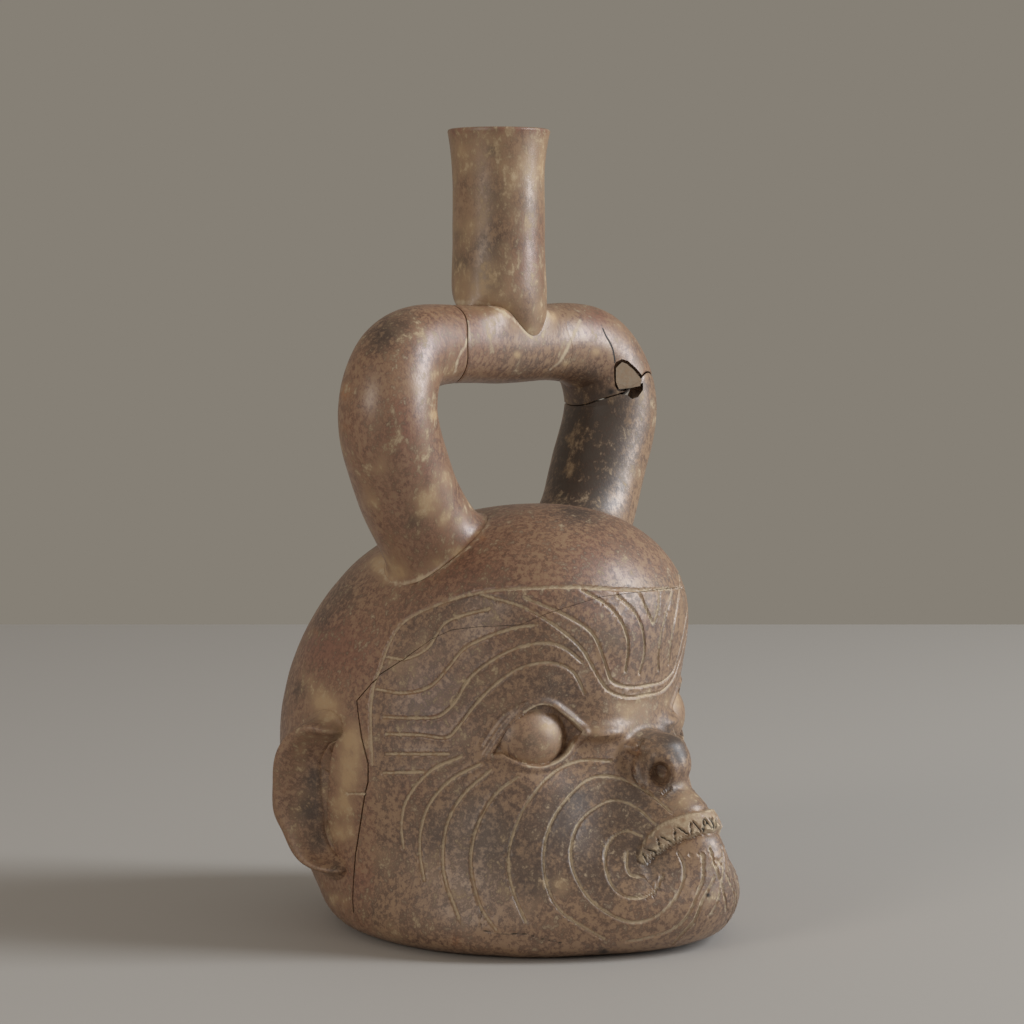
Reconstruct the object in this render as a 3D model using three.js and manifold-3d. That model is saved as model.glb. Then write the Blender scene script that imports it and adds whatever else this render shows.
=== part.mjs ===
// Stirrup-spout vessel in the shape of a monkey's head: hollow fired clay, hand-built from pieces that
// are stuck to each other. Millimetres, +Z up. The face looks along -Y and the monkey's left is +X.
// The origin lies on the table, under the axis of the spout.
import * as THREE from 'three';
import { mergeVertices } from 'three/addons/utils/BufferGeometryUtils.js';
import Module from 'manifold-3d';

const wasm = await Module();
wasm.setup();

// Walls and joints
const HEAD_WALL = 5;
const JOINT_GAP = 0.3;
const BASE_SEAM_HEIGHT = 8;
const BASE_EDGE_SOFTNESS = 6;

// Head: lumps of clay that melt into each other. forward is towards the face, up is from the table,
// side is out from the middle, and blend is how far a lump melts into the ones before it.
const HEAD_HALF_WIDTH = 54;
const JAW_SPREAD = 0.5;
const CRANIUM = { forward: -7, up: 49, halfWidth: HEAD_HALF_WIDTH, halfLength: 60, halfHeight: 66 };
const FOREHEAD = { forward: 21.5, up: 89.5, halfWidth: 40, halfLength: 33.5, halfHeight: 28.5, blend: 16 };
const JAW_HALF_WIDTH = HEAD_HALF_WIDTH + JAW_SPREAD;
const JAW = { forward: 13.5, up: 8, halfWidth: JAW_HALF_WIDTH, halfLength: 52, halfHeight: 24, blend: 18 };
const MUZZLE = { forward: 31, up: 14, halfWidth: 35, halfLength: 46.5, halfHeight: 19.5, blend: 14 };
const UPPER_LIP = { forward: 43, up: 27, halfWidth: 16, halfLength: 34, halfHeight: 22.5, blend: 10 };
const BROW = { forward: 18, up: 74.5, halfWidth: 37, halfLength: 24, halfHeight: 12.5, blend: 10 };
const CHEEK = {
  side: 20.5, forward: 26.5, up: 27, halfWidth: 21, halfLength: 19, halfHeight: 22.5, blend: 12,
};
const EYE_HOLLOW = { side: 33, forward: 53, up: 58, halfWidth: 15, halfLength: 11, halfHeight: 11, blend: 8 };
const HEAD_LUMPS = [CRANIUM, FOREHEAD, JAW, MUZZLE, UPPER_LIP, BROW, CHEEK];

// Break between the face and the back of the head, from under the floor up to the forehead. A second
// break runs level round the back from the temple, under the crown.
const BREAK_EAR_FORWARD = -3;
const BREAK_TEMPLE = { forward: -6, up: 66 };
const BREAK_BROW = { forward: 28, up: 90 };
const BREAK_FOREHEAD = { forward: 54, up: 97 };

// Eyes: clay buttons in sunk almond openings. A raised lid runs round each opening.
const EYE_SIDE = 31;
const EYE_HEIGHT = 59;
const EYE_DIAMETER = 15.6;
const EYE_BULGE = 3.2;
const EYE_SEAT_DEPTH = 2;
const EYE_TURN = 36;
const LID_OPENING_WIDTH = 26;
const LID_OPENING_HEIGHT = 17;
const LID_TILT = 12;
const LID_WIDTH = 2;
const LID_RISE = 0.8;
const LID_SINK = 0.8;

// Mouth: an arched lip, seen from the front, over a lower jaw that steps back under it. A shoulder is
// the side at which an edge of the lip has come up from the corner of the mouth.
const MOUTH_HALF_WIDTH = 20;
const MOUTH_CORNER_HEIGHT = 24;
const LIP_TOP_HEIGHT = 38.3;
const LIP_BOTTOM_HEIGHT = 32.7;
const LIP_TOP_SHOULDER = 13;
const LIP_BOTTOM_SHOULDER = 9;
const LIP_RISE = 0.9;
const JAW_STEP_DEPTH = 1.5;
const JAW_STEP_FOOT = 10;
const JAW_STEP_SHOULDER = 14;

// Nose: tip, bridge, and a wing round each drilled nostril. rise is above the height of the nose, and
// bulge is how far the lump stands out of the face. The nostrils look out to the sides.
const NOSE_HEIGHT = 51;
const NOSE_TIP = { rise: 1, halfWidth: 7, bulge: 11.5, halfHeight: 7.5 };
const NOSE_BRIDGE = { rise: 7.5, halfWidth: 10, bulge: 8, halfHeight: 5 };
const NOSE_WING = { side: 3, rise: -1, halfWidth: 6, bulge: 8.5, halfHeight: 7 };
const NOSTRIL_DIAMETER = 6;
const NOSTRIL_DEPTH = 5;
const NOSTRIL_TURN = 58;
const NOSTRIL_REACH = 6.5;

// Roots of the nose: a ridge from the bridge towards the inner corner of each eye
const NOSE_ROOT = { side: 12, forward: 46.5, up: 60.5, halfWidth: 9, halfLength: 7, halfHeight: 3.4 };

// Ears: cupped flaps, hollow towards the front
const EAR_FORWARD = -22;
const EAR_HEIGHT = 37.5;
const EAR_LENGTH = 30;
const EAR_TALLNESS = 42;
const EAR_REACH = 15;
const EAR_LIP = 3.2;
const EAR_OPENING = 8;
const EAR_SWEEP = 24;

// Stirrup: one bent tube that springs from the crown on both sides. A rise is above the crown.
const ARCH_HALF_SPAN = 48.5;
const ELBOW_RISE = 28.5;
const BAR_RISE = 45;
const SHOULDER_SIDE = 38;
const SHOULDER_DROP = 1.7;
const LEG_MIDDLE_SIDE = 42;
const LEG_MIDDLE_RISE = 8;
const LEG_FOOT_SIDE = 32;
const LEG_FOOT_FORWARD = 4;
const LEG_ROOT_DEPTH = 26;
const LEG_ROOT_SIDE = 19;
const LEG_DIAMETER = 27.6;
const BAR_DIAMETER = 22;
const STIRRUP_WALL = 4.5;
const RIGHT_BREAK_SIDE = -20.5;
const LEFT_BREAK_SIDE = 25;
const ELBOW_BREAK_RISE = 31;

// Share of the way from the bar's middle to a foot, where the tube starts and ends to thicken
const THICKENING_START = 0.12;
const THICKENING_END = 0.5;

// Filler in the chipped front of the left elbow
const FILL_SIDE = 43;
const FILL_RISE = 37;
const FILL_DIAMETER = 9;

// Spout: its foot narrows to the waist, which runs up to the flare of the rim
const SPOUT_HEIGHT = 50;
const SPOUT_FOOT_DIAMETER = 28.4;
const SPOUT_WAIST_DIAMETER = 26.4;
const SPOUT_RIM_DIAMETER = 29.2;
const SPOUT_WAIST_START = 0.45;
const SPOUT_WAIST_END = 0.6;
const SPOUT_WALL = 4;
const SPOUT_PORT_DIAMETER = 13;

// Fineness of the facets
const HEAD_DETAIL = 11;
const CHAMBER_DETAIL = 6;
const BALL_DETAIL = 3;
const TUBE_SIDES = 20;
const BORE_SIDES = 12;
const TUBE_STEP = 7;
const SPOUT_RINGS = 6;
const BREAK_STEPS = 24;
const RELIEF_STEPS = 6;

// Fired clay colours
const BROWN_CLAY = { color: 0x8c7560, roughness: 0.55, metalness: 0 };
const RED_SLIP = { color: 0x85604a, roughness: 0.5, metalness: 0 };
const SOOTY_CLAY = { color: 0x6a5a4c, roughness: 0.55, metalness: 0 };
const GREY_FILLER = { color: 0x8d8880, roughness: 0.9, metalness: 0 };

// Solids from three.js geometry, and back
const MERGE_DISTANCE = 1e-4;

function solidOf(geometry) {
  const bare = geometry.clone();
  bare.deleteAttribute('normal');
  bare.deleteAttribute('uv');
  const merged = mergeVertices(bare, MERGE_DISTANCE);
  const vertProperties = new Float32Array(merged.attributes.position.array);
  const triVerts = new Uint32Array(merged.index.array);
  return new wasm.Manifold(new wasm.Mesh({ numProp: 3, vertProperties, triVerts }));
}

function meshOf(name, solid, look) {
  const { vertProperties, triVerts } = solid.getMesh();
  const geometry = new THREE.BufferGeometry();
  geometry.setAttribute('position', new THREE.BufferAttribute(vertProperties, 3));
  geometry.setIndex(new THREE.BufferAttribute(triVerts, 1));
  geometry.computeVertexNormals();
  const mesh = new THREE.Mesh(geometry, new THREE.MeshStandardMaterial(look));
  mesh.name = name;
  return mesh;
}

// Signed distance, near enough, from a point to one lump of clay
function lumpDistance(point, lump) {
  const x = (Math.abs(point.x) - (lump.side ?? 0)) / lump.halfWidth;
  const y = (-point.y - lump.forward) / lump.halfLength;
  const z = (point.z - lump.up) / lump.halfHeight;
  const reach = Math.hypot(x, y, z);
  const slope = Math.hypot(x / lump.halfWidth, y / lump.halfLength, z / lump.halfHeight);
  return reach * (reach - 1) / Math.max(slope, Number.EPSILON);
}

function meltTogether(a, b, blend) {
  const share = THREE.MathUtils.clamp((1 + (b - a) / blend) / 2, 0, 1);
  return b * (1 - share) + a * share - blend * share * (1 - share);
}

function carve(a, b, blend) {
  return -meltTogether(-a, -b, blend);
}

// Distance from the skin of the head: below zero in the clay
function headDistance(point) {
  const [first, ...rest] = HEAD_LUMPS;
  const lumps = rest.reduce(
    (sum, lump) => meltTogether(sum, lumpDistance(point, lump), lump.blend), lumpDistance(point, first));
  const hollowed = carve(lumps, -lumpDistance(point, EYE_HOLLOW), EYE_HOLLOW.blend);
  return carve(hollowed, -point.z, BASE_EDGE_SOFTNESS);
}

// How much of its step the lower jaw has at a place: all of it at the lip, none at its foot
function jawStepShare(point) {
  return THREE.MathUtils.smoothstep(point.z, JAW_STEP_FOOT, LIP_BOTTOM_HEIGHT);
}

// Every ray starts in the middle of the clay and ends well outside it
const HEAD_MIDDLE = new THREE.Vector3(0, 0, CRANIUM.up);
const RAY_LENGTH = 2 * (CRANIUM.halfLength + JAW.halfLength);
const RAY_STEPS = 120;
const RAY_HALVINGS = 20;

// Last point of a ray that is inside the skin grown by offset, with a step at the lower jaw or without
function castRay(start, direction, offset, jawStepDepth = 0) {
  const point = new THREE.Vector3();
  const isInside = (reach) => {
    point.copy(start).addScaledVector(direction, reach);
    return headDistance(point) + jawStepDepth * jawStepShare(point) < offset;
  };
  let step = RAY_STEPS;
  while (step > 0 && !isInside(RAY_LENGTH * step / RAY_STEPS)) {
    step -= 1;
  }
  let inside = RAY_LENGTH * step / RAY_STEPS;
  let outside = RAY_LENGTH * (step + 1) / RAY_STEPS;
  for (let halving = 0; halving < RAY_HALVINGS; halving += 1) {
    const middle = (inside + outside) / 2;
    if (isInside(middle)) {
      inside = middle;
    } else {
      outside = middle;
    }
  }
  return start.clone().addScaledVector(direction, inside);
}

// Closed solid of the head, its skin grown by offset
function headSolid(offset, detail, jawStepDepth = 0) {
  const geometry = new THREE.IcosahedronGeometry(1, detail);
  const places = geometry.attributes.position;
  const direction = new THREE.Vector3();
  for (let i = 0; i < places.count; i += 1) {
    direction.fromBufferAttribute(places, i).normalize();
    const skin = castRay(HEAD_MIDDLE, direction, offset, jawStepDepth);
    places.setXYZ(i, skin.x, skin.y, skin.z);
  }
  return solidOf(geometry);
}

function skinAhead(side, up) {
  return castRay(new THREE.Vector3(side, HEAD_MIDDLE.y, up), new THREE.Vector3(0, -1, 0), 0);
}

function skinBeside(sign, forward, up) {
  return castRay(new THREE.Vector3(0, -forward, up), new THREE.Vector3(sign, 0, 0), 0);
}

function skinAbove(side, forward) {
  return castRay(new THREE.Vector3(side, -forward, HEAD_MIDDLE.z), new THREE.Vector3(0, 0, 1), 0);
}

// Closed ball with its own half-sizes, turned about Z and moved
function ballSolid(halfX, halfY, halfZ, turn, place) {
  const geometry = new THREE.IcosahedronGeometry(1, BALL_DETAIL);
  geometry.scale(halfX, halfY, halfZ);
  geometry.rotateZ(turn);
  geometry.translate(place.x, place.y, place.z);
  return solidOf(geometry);
}

// Block that reaches far past the head on all sides, between two heights
function slabSolid(low, high) {
  const geometry = new THREE.BoxGeometry(2 * RAY_LENGTH, 2 * RAY_LENGTH, high - low);
  geometry.translate(0, 0, (low + high) / 2);
  return solidOf(geometry);
}

// Bar with an outline drawn as seen from the front. It runs to either side of a place on the skin,
// along the way that the face looks there.
const BAR_REACH = 20;

function frontBar(outline, turn, place) {
  const geometry = new THREE.ExtrudeGeometry(
    outline, { depth: 2 * BAR_REACH, bevelEnabled: false, curveSegments: RELIEF_STEPS });
  geometry.translate(0, 0, -BAR_REACH);
  geometry.rotateX(Math.PI / 2);
  geometry.rotateZ(turn);
  geometry.translate(place.x, place.y, place.z);
  return solidOf(geometry);
}

// Hollow head
const headSkin = headSolid(0, HEAD_DETAIL);
const headSkinGrown = headSolid(JOINT_GAP, HEAD_DETAIL);
const chamber = headSolid(-HEAD_WALL, CHAMBER_DETAIL);
const shell = headSkin.subtract(chamber);
const crownHeight = skinAbove(0, 0).z;

// Stirrup centreline, from the right leg over the bar to the left leg
function archCurve() {
  const footHeight = skinAbove(LEG_FOOT_SIDE, LEG_FOOT_FORWARD).z;
  const half = [
    [LEG_ROOT_SIDE, LEG_FOOT_FORWARD, footHeight - LEG_ROOT_DEPTH],
    [LEG_FOOT_SIDE, LEG_FOOT_FORWARD, footHeight],
    [LEG_MIDDLE_SIDE, LEG_FOOT_FORWARD / 2, crownHeight + LEG_MIDDLE_RISE],
    [ARCH_HALF_SPAN, 0, crownHeight + ELBOW_RISE],
    [SHOULDER_SIDE, 0, crownHeight + BAR_RISE - SHOULDER_DROP],
  ];
  const right = half.map(([side, forward, up]) => new THREE.Vector3(-side, -forward, up));
  const middle = new THREE.Vector3(0, 0, crownHeight + BAR_RISE);
  const left = half.map(([side, forward, up]) => new THREE.Vector3(side, -forward, up)).reverse();
  return new THREE.CatmullRomCurve3([...right, middle, ...left]);
}

const arch = archCurve();
const archLength = arch.getLength();

function tubeRadius(share) {
  const fromBar = Math.abs(2 * share - 1);
  const thickening = THREE.MathUtils.smoothstep(fromBar, THICKENING_START, THICKENING_END);
  return THREE.MathUtils.lerp(BAR_DIAMETER, LEG_DIAMETER, thickening) / 2;
}

// Round rod along the arch, between two shares of its length, its skin grown by offset
function archRod(from, to, offset, sides) {
  const rings = Math.ceil((to - from) * archLength / TUBE_STEP);
  const geometry = new THREE.CylinderGeometry(1, 1, 1, sides, rings);
  const places = geometry.attributes.position;
  const across = new THREE.Vector3();
  const outward = new THREE.Vector3();
  for (let i = 0; i < places.count; i += 1) {
    const share = THREE.MathUtils.mapLinear(places.getY(i), -1 / 2, 1 / 2, from, to);
    const radius = tubeRadius(share) + offset;
    const tangent = arch.getTangentAt(share);
    across.set(0, 1, 0).addScaledVector(tangent, -tangent.y).normalize();
    outward.crossVectors(across, tangent);
    const place = arch.getPointAt(share);
    place.addScaledVector(across, radius * places.getX(i));
    place.addScaledVector(outward, radius * places.getZ(i));
    places.setXYZ(i, place.x, place.y, place.z);
  }
  return solidOf(geometry);
}

// First share of the arch's length, in small steps, at which a test of the place holds
const ARCH_STEPS = 2000;

function archShareWhere(test) {
  let step = 0;
  while (!test(arch.getPointAt(step / ARCH_STEPS), step / ARCH_STEPS)) {
    step += 1;
  }
  return step / ARCH_STEPS;
}

const rightBreak = archShareWhere(
  (place) => place.z > crownHeight + ELBOW_RISE && place.x >= RIGHT_BREAK_SIDE);
const leftBreak = archShareWhere((place) => place.x >= LEFT_BREAK_SIDE);
const elbowBreak = archShareWhere(
  (place, share) => share > leftBreak && place.z <= crownHeight + ELBOW_BREAK_RISE);
const gapShare = JOINT_GAP / archLength;
const archBore = archRod(0, 1, -STIRRUP_WALL, BORE_SIDES);

function archTube(from, to) {
  return archRod(from, to, 0, TUBE_SIDES).subtract(archBore);
}

// Spout: flared tube whose foot sits astride the bar
const barHeight = crownHeight + BAR_RISE;
const spoutTop = barHeight + BAR_DIAMETER / 2 + SPOUT_HEIGHT;

function spoutRadius(share) {
  const foot = SPOUT_FOOT_DIAMETER - SPOUT_WAIST_DIAMETER;
  const rim = SPOUT_RIM_DIAMETER - SPOUT_WAIST_DIAMETER;
  const footShare = 1 - THREE.MathUtils.smoothstep(share, 0, SPOUT_WAIST_START);
  const rimShare = THREE.MathUtils.smoothstep(share, SPOUT_WAIST_END, 1);
  return (SPOUT_WAIST_DIAMETER + foot * footShare + rim * rimShare) / 2;
}

function spoutSolid() {
  const outside = [];
  const inside = [];
  for (let ring = 0; ring <= SPOUT_RINGS; ring += 1) {
    const share = ring / SPOUT_RINGS;
    const height = THREE.MathUtils.lerp(barHeight, spoutTop, share);
    outside.push(new THREE.Vector2(spoutRadius(share), height));
    inside.unshift(new THREE.Vector2(spoutRadius(share) - SPOUT_WALL, height));
  }
  const geometry = new THREE.LatheGeometry([...outside, ...inside, outside[0]], TUBE_SIDES);
  geometry.rotateX(Math.PI / 2);
  return solidOf(geometry);
}

const spout = spoutSolid().subtract(archRod(0, 1, JOINT_GAP, TUBE_SIDES));

// Stirrup pieces between the breaks; the bar has a port under the spout
function spoutPort() {
  const radius = SPOUT_PORT_DIAMETER / 2;
  const geometry = new THREE.CylinderGeometry(radius, radius, BAR_DIAMETER, BORE_SIDES);
  geometry.rotateX(Math.PI / 2);
  geometry.translate(0, 0, barHeight + BAR_DIAMETER / 2);
  return solidOf(geometry);
}

const rightArm = archTube(0, rightBreak).subtract(headSkinGrown);
const stirrupBar = archTube(rightBreak + gapShare, leftBreak).subtract(spoutPort());
const wholeElbow = archTube(leftBreak + gapShare, elbowBreak);
const leftLeg = archTube(elbowBreak + gapShare, 1).subtract(headSkinGrown);

// Filler: a plug through the front wall of the left elbow
function fillPlug(diameter) {
  const geometry = new THREE.CylinderGeometry(diameter / 2, diameter / 2, LEG_DIAMETER, BORE_SIDES);
  geometry.translate(FILL_SIDE, -LEG_DIAMETER / 2, crownHeight + FILL_RISE);
  return solidOf(geometry);
}

const elbowFill = wholeElbow.intersect(fillPlug(FILL_DIAMETER - 2 * JOINT_GAP));
const leftElbow = wholeElbow.subtract(fillPlug(FILL_DIAMETER));

// Eyes: buttons whose backs follow the skin at the depth of their seat
function eyeBall(sign, offset) {
  const skin = skinAhead(sign * EYE_SIDE, EYE_HEIGHT);
  const turn = sign * THREE.MathUtils.degToRad(EYE_TURN);
  const half = EYE_DIAMETER / 2 + offset;
  return ballSolid(half, EYE_BULGE + offset, half, turn, skin);
}

// Almond bar through an eye, its outline grown by margin
function almondBar(sign, margin) {
  const middle = new THREE.Vector2();
  const tilt = -sign * THREE.MathUtils.degToRad(LID_TILT);
  const corner = new THREE.Vector2(LID_OPENING_WIDTH / 2 + margin, 0).rotateAround(middle, tilt);
  const bow = new THREE.Vector2(0, LID_OPENING_HEIGHT + 2 * margin).rotateAround(middle, tilt);
  const outline = new THREE.Shape();
  outline.moveTo(-corner.x, -corner.y);
  outline.quadraticCurveTo(bow.x, bow.y, corner.x, corner.y);
  outline.quadraticCurveTo(-bow.x, -bow.y, -corner.x, -corner.y);
  const skin = skinAhead(sign * EYE_SIDE, EYE_HEIGHT);
  return frontBar(outline, sign * THREE.MathUtils.degToRad(EYE_TURN), skin);
}

const eyeOpenings = almondBar(-1, 0).add(almondBar(1, 0));
const lidBars = almondBar(-1, LID_WIDTH).add(almondBar(1, LID_WIDTH)).subtract(eyeOpenings);
const lids = headSolid(LID_RISE, HEAD_DETAIL).intersect(lidBars);
const eyeSinks = eyeOpenings.subtract(headSolid(-LID_SINK, HEAD_DETAIL));

const eyeBack = headSolid(-EYE_SEAT_DEPTH, HEAD_DETAIL);
const socketFloor = headSolid(-EYE_SEAT_DEPTH - JOINT_GAP, HEAD_DETAIL);
const eyeSockets = eyeBall(-1, JOINT_GAP).add(eyeBall(1, JOINT_GAP)).subtract(socketFloor);
const rightEye = eyeBall(-1, 0).subtract(eyeBack);
const leftEye = eyeBall(1, 0).subtract(eyeBack);

// Mouth: the lower edge of the lip, from the left corner to the right one, closes both outlines
function mouthBar(edgeHeight, edgeShoulder) {
  const outline = new THREE.Shape();
  outline.moveTo(-MOUTH_HALF_WIDTH, MOUTH_CORNER_HEIGHT);
  outline.quadraticCurveTo(-edgeShoulder, edgeHeight, 0, edgeHeight);
  outline.quadraticCurveTo(edgeShoulder, edgeHeight, MOUTH_HALF_WIDTH, MOUTH_CORNER_HEIGHT);
  outline.quadraticCurveTo(LIP_BOTTOM_SHOULDER, LIP_BOTTOM_HEIGHT, 0, LIP_BOTTOM_HEIGHT);
  outline.quadraticCurveTo(
    -LIP_BOTTOM_SHOULDER, LIP_BOTTOM_HEIGHT, -MOUTH_HALF_WIDTH, MOUTH_CORNER_HEIGHT);
  const skin = skinAhead(0, LIP_BOTTOM_HEIGHT);
  return frontBar(outline, 0, new THREE.Vector3(skin.x, skin.y, 0));
}

const lip = headSolid(LIP_RISE, HEAD_DETAIL).intersect(mouthBar(LIP_TOP_HEIGHT, LIP_TOP_SHOULDER));
const steppedHead = headSolid(0, HEAD_DETAIL, JAW_STEP_DEPTH);
const jawStep = mouthBar(JAW_STEP_FOOT, JAW_STEP_SHOULDER).subtract(steppedHead);

// Nose: lumps set on the skin, then a nostril bored into each wing
function noseRoot(sign, offset) {
  const place = new THREE.Vector3(sign * NOSE_ROOT.side, -NOSE_ROOT.forward, NOSE_ROOT.up);
  return ballSolid(
    NOSE_ROOT.halfWidth + offset, NOSE_ROOT.halfLength + offset, NOSE_ROOT.halfHeight + offset, 0, place);
}

function noseLump(sign, lump) {
  const skin = skinAhead(sign * (lump.side ?? 0), NOSE_HEIGHT + lump.rise);
  return ballSolid(lump.halfWidth, lump.bulge, lump.halfHeight, 0, skin);
}

function nostril(sign) {
  const turn = sign * THREE.MathUtils.degToRad(NOSTRIL_TURN);
  const axis = new THREE.Vector3(Math.sin(turn), -Math.cos(turn), 0);
  const wing = skinAhead(sign * NOSE_WING.side, NOSE_HEIGHT + NOSE_WING.rise);
  const mouth = wing.addScaledVector(axis, NOSTRIL_REACH);
  return ballSolid(NOSTRIL_DIAMETER / 2, NOSTRIL_DEPTH, NOSTRIL_DIAMETER / 2, turn, mouth);
}

function noseSolid() {
  const wings = noseLump(-1, NOSE_WING).add(noseLump(1, NOSE_WING));
  const lumps = noseLump(1, NOSE_TIP).add(noseLump(1, NOSE_BRIDGE)).add(wings);
  const bored = lumps.subtract(nostril(-1)).subtract(nostril(1));
  return bored.subtract(noseRoot(-1, JOINT_GAP)).subtract(noseRoot(1, JOINT_GAP)).subtract(headSkinGrown);
}

// Ears: a flattened ball on the side of the head, swept back, with a smaller ball scooped out of it
// from the front and the outside
function earSolid(sign) {
  const skin = skinBeside(sign, EAR_FORWARD, EAR_HEIGHT);
  const turn = sign * THREE.MathUtils.degToRad(EAR_SWEEP);
  const cup = ballSolid(EAR_REACH, EAR_LENGTH / 2, EAR_TALLNESS / 2, turn, skin);
  const scoopPlace = skin.clone().add(new THREE.Vector3(sign * EAR_LIP, -EAR_OPENING, 0));
  const scoop = ballSolid(
    EAR_REACH, EAR_LENGTH / 2 + EAR_OPENING - EAR_LIP, EAR_TALLNESS / 2 - EAR_LIP, turn, scoopPlace);
  return cup.subtract(scoop).subtract(headSkinGrown);
}

// Break between the face and the back of the head: a curve seen from the side, cut straight through
const breakCurve = new THREE.SplineCurve([
  new THREE.Vector2(BREAK_EAR_FORWARD, -BASE_SEAM_HEIGHT),
  new THREE.Vector2(BREAK_EAR_FORWARD, BREAK_TEMPLE.up / 2),
  new THREE.Vector2(BREAK_TEMPLE.forward, BREAK_TEMPLE.up),
  new THREE.Vector2(BREAK_BROW.forward, BREAK_BROW.up),
  new THREE.Vector2(BREAK_FOREHEAD.forward, BREAK_FOREHEAD.up),
  new THREE.Vector2(RAY_LENGTH, BREAK_FOREHEAD.up),
]);

// Everything in front of the break, with its cut face moved back by retreat
function facePrism(retreat) {
  const outline = [];
  for (let step = 0; step <= BREAK_STEPS; step += 1) {
    const place = breakCurve.getPoint(step / BREAK_STEPS);
    const tangent = breakCurve.getTangent(step / BREAK_STEPS);
    outline.push(new THREE.Vector2(place.x - retreat * tangent.y, place.y + retreat * tangent.x));
  }
  outline.push(new THREE.Vector2(RAY_LENGTH, -BASE_SEAM_HEIGHT));
  const geometry = new THREE.ExtrudeGeometry(
    new THREE.Shape(outline), { depth: RAY_LENGTH, bevelEnabled: false });
  geometry.translate(0, 0, -RAY_LENGTH / 2);
  geometry.rotateX(Math.PI / 2);
  geometry.rotateZ(-Math.PI / 2);
  return solidOf(geometry);
}

// Chamber pieces: floor, face, back and crown, with the stirrup's bores opening through the crown
const baseFloor = shell.intersect(slabSolid(-RAY_LENGTH, BASE_SEAM_HEIGHT));
const walls = shell.intersect(slabSolid(BASE_SEAM_HEIGHT + JOINT_GAP, RAY_LENGTH));
const relief = lids.add(lip).add(noseRoot(-1, 0)).add(noseRoot(1, 0)).subtract(chamber);
const plainFace = walls.intersect(facePrism(0));
const faceShell = plainFace.add(relief).subtract(eyeSinks).subtract(jawStep).subtract(eyeSockets);
const backWalls = walls.subtract(facePrism(JOINT_GAP));
const rearShell = backWalls.intersect(slabSolid(-RAY_LENGTH, BREAK_TEMPLE.up));
const crown = backWalls.intersect(slabSolid(BREAK_TEMPLE.up + JOINT_GAP, RAY_LENGTH));
const crownShell = crown.subtract(archBore);

// Vessel
const vessel = new THREE.Group();
vessel.add(meshOf('base_floor', baseFloor, BROWN_CLAY));
vessel.add(meshOf('face_shell', faceShell, BROWN_CLAY));
vessel.add(meshOf('rear_shell', rearShell, RED_SLIP));
vessel.add(meshOf('crown_shell', crownShell, RED_SLIP));
vessel.add(meshOf('right_ear', earSolid(-1), BROWN_CLAY));
vessel.add(meshOf('left_ear', earSolid(1), BROWN_CLAY));
vessel.add(meshOf('right_eye', rightEye, BROWN_CLAY));
vessel.add(meshOf('left_eye', leftEye, BROWN_CLAY));
vessel.add(meshOf('nose', noseSolid(), SOOTY_CLAY));
vessel.add(meshOf('right_arm', rightArm, RED_SLIP));
vessel.add(meshOf('stirrup_bar', stirrupBar, BROWN_CLAY));
vessel.add(meshOf('left_elbow', leftElbow, BROWN_CLAY));
vessel.add(meshOf('left_leg', leftLeg, SOOTY_CLAY));
vessel.add(meshOf('elbow_fill', elbowFill, GREY_FILLER));
vessel.add(meshOf('spout', spout, BROWN_CLAY));

export default vessel;
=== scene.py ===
"""Stirrup-spout vessel in the shape of a monkey's head: fired clay, burnished, incised, broken and mended.

The chamber is sculpted as one skin of clay and then parted along the real breaks and joins. The ears, the
tubes of the stirrup, the filler and the spout are shaped each by itself. Lengths in the code are
millimetres unless they belong to a Blender object, which is in metres."""

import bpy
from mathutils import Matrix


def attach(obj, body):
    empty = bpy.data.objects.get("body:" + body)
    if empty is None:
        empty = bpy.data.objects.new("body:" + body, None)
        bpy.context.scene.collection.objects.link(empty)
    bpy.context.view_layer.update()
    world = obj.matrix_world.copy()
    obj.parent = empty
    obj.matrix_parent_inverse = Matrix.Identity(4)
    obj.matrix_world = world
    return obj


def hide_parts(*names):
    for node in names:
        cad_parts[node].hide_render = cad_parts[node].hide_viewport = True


bl_info = {
    "name": "Monkey Head Vessel",
    "version": (1, 0, 0),
    "blender": (4, 5, 0),
    "location": "3D View > Sidebar > Vessel",
    "description": "Models a mended clay stirrup-spout vessel in the shape of a monkey's head",
    "category": "Add Mesh",
}

import math
from typing import NamedTuple

import bpy
import numpy as np
from mathutils import Matrix, Vector, noise
from mathutils.kdtree import KDTree

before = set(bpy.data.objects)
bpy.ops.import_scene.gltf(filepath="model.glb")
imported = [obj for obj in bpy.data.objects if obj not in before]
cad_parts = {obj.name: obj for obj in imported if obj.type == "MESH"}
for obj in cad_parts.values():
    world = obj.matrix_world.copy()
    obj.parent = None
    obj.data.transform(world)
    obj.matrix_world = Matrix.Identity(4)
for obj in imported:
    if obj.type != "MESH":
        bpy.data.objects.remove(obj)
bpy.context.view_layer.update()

MM = 0.001

# Without a seed of its own, the noise of the hand-made skin would change from run to run
HAND_SEED = 1
noise.seed_set(HAND_SEED)


def linear(code):
    """Linear colour of an sRGB hex code."""
    channels = (int(code[i:i + 2], 16) / 255 for i in (0, 2, 4))
    return tuple(c / 12.92 if c <= 0.04045 else ((c + 0.055) / 1.055) ** 2.4 for c in channels)


def unit(vectors):
    """The same directions with length 1."""
    return vectors / np.linalg.norm(vectors, axis=-1, keepdims=True)


# Sizes and colours that a user would change

def length(name, description, millimetres):
    return bpy.props.FloatProperty(
        name=name, description=description, default=millimetres * MM, min=0, unit="LENGTH")


def colour(name, description, code):
    return bpy.props.FloatVectorProperty(
        name=name, description=description, default=linear(code), size=3, subtype="COLOR", min=0, max=1)


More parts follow.
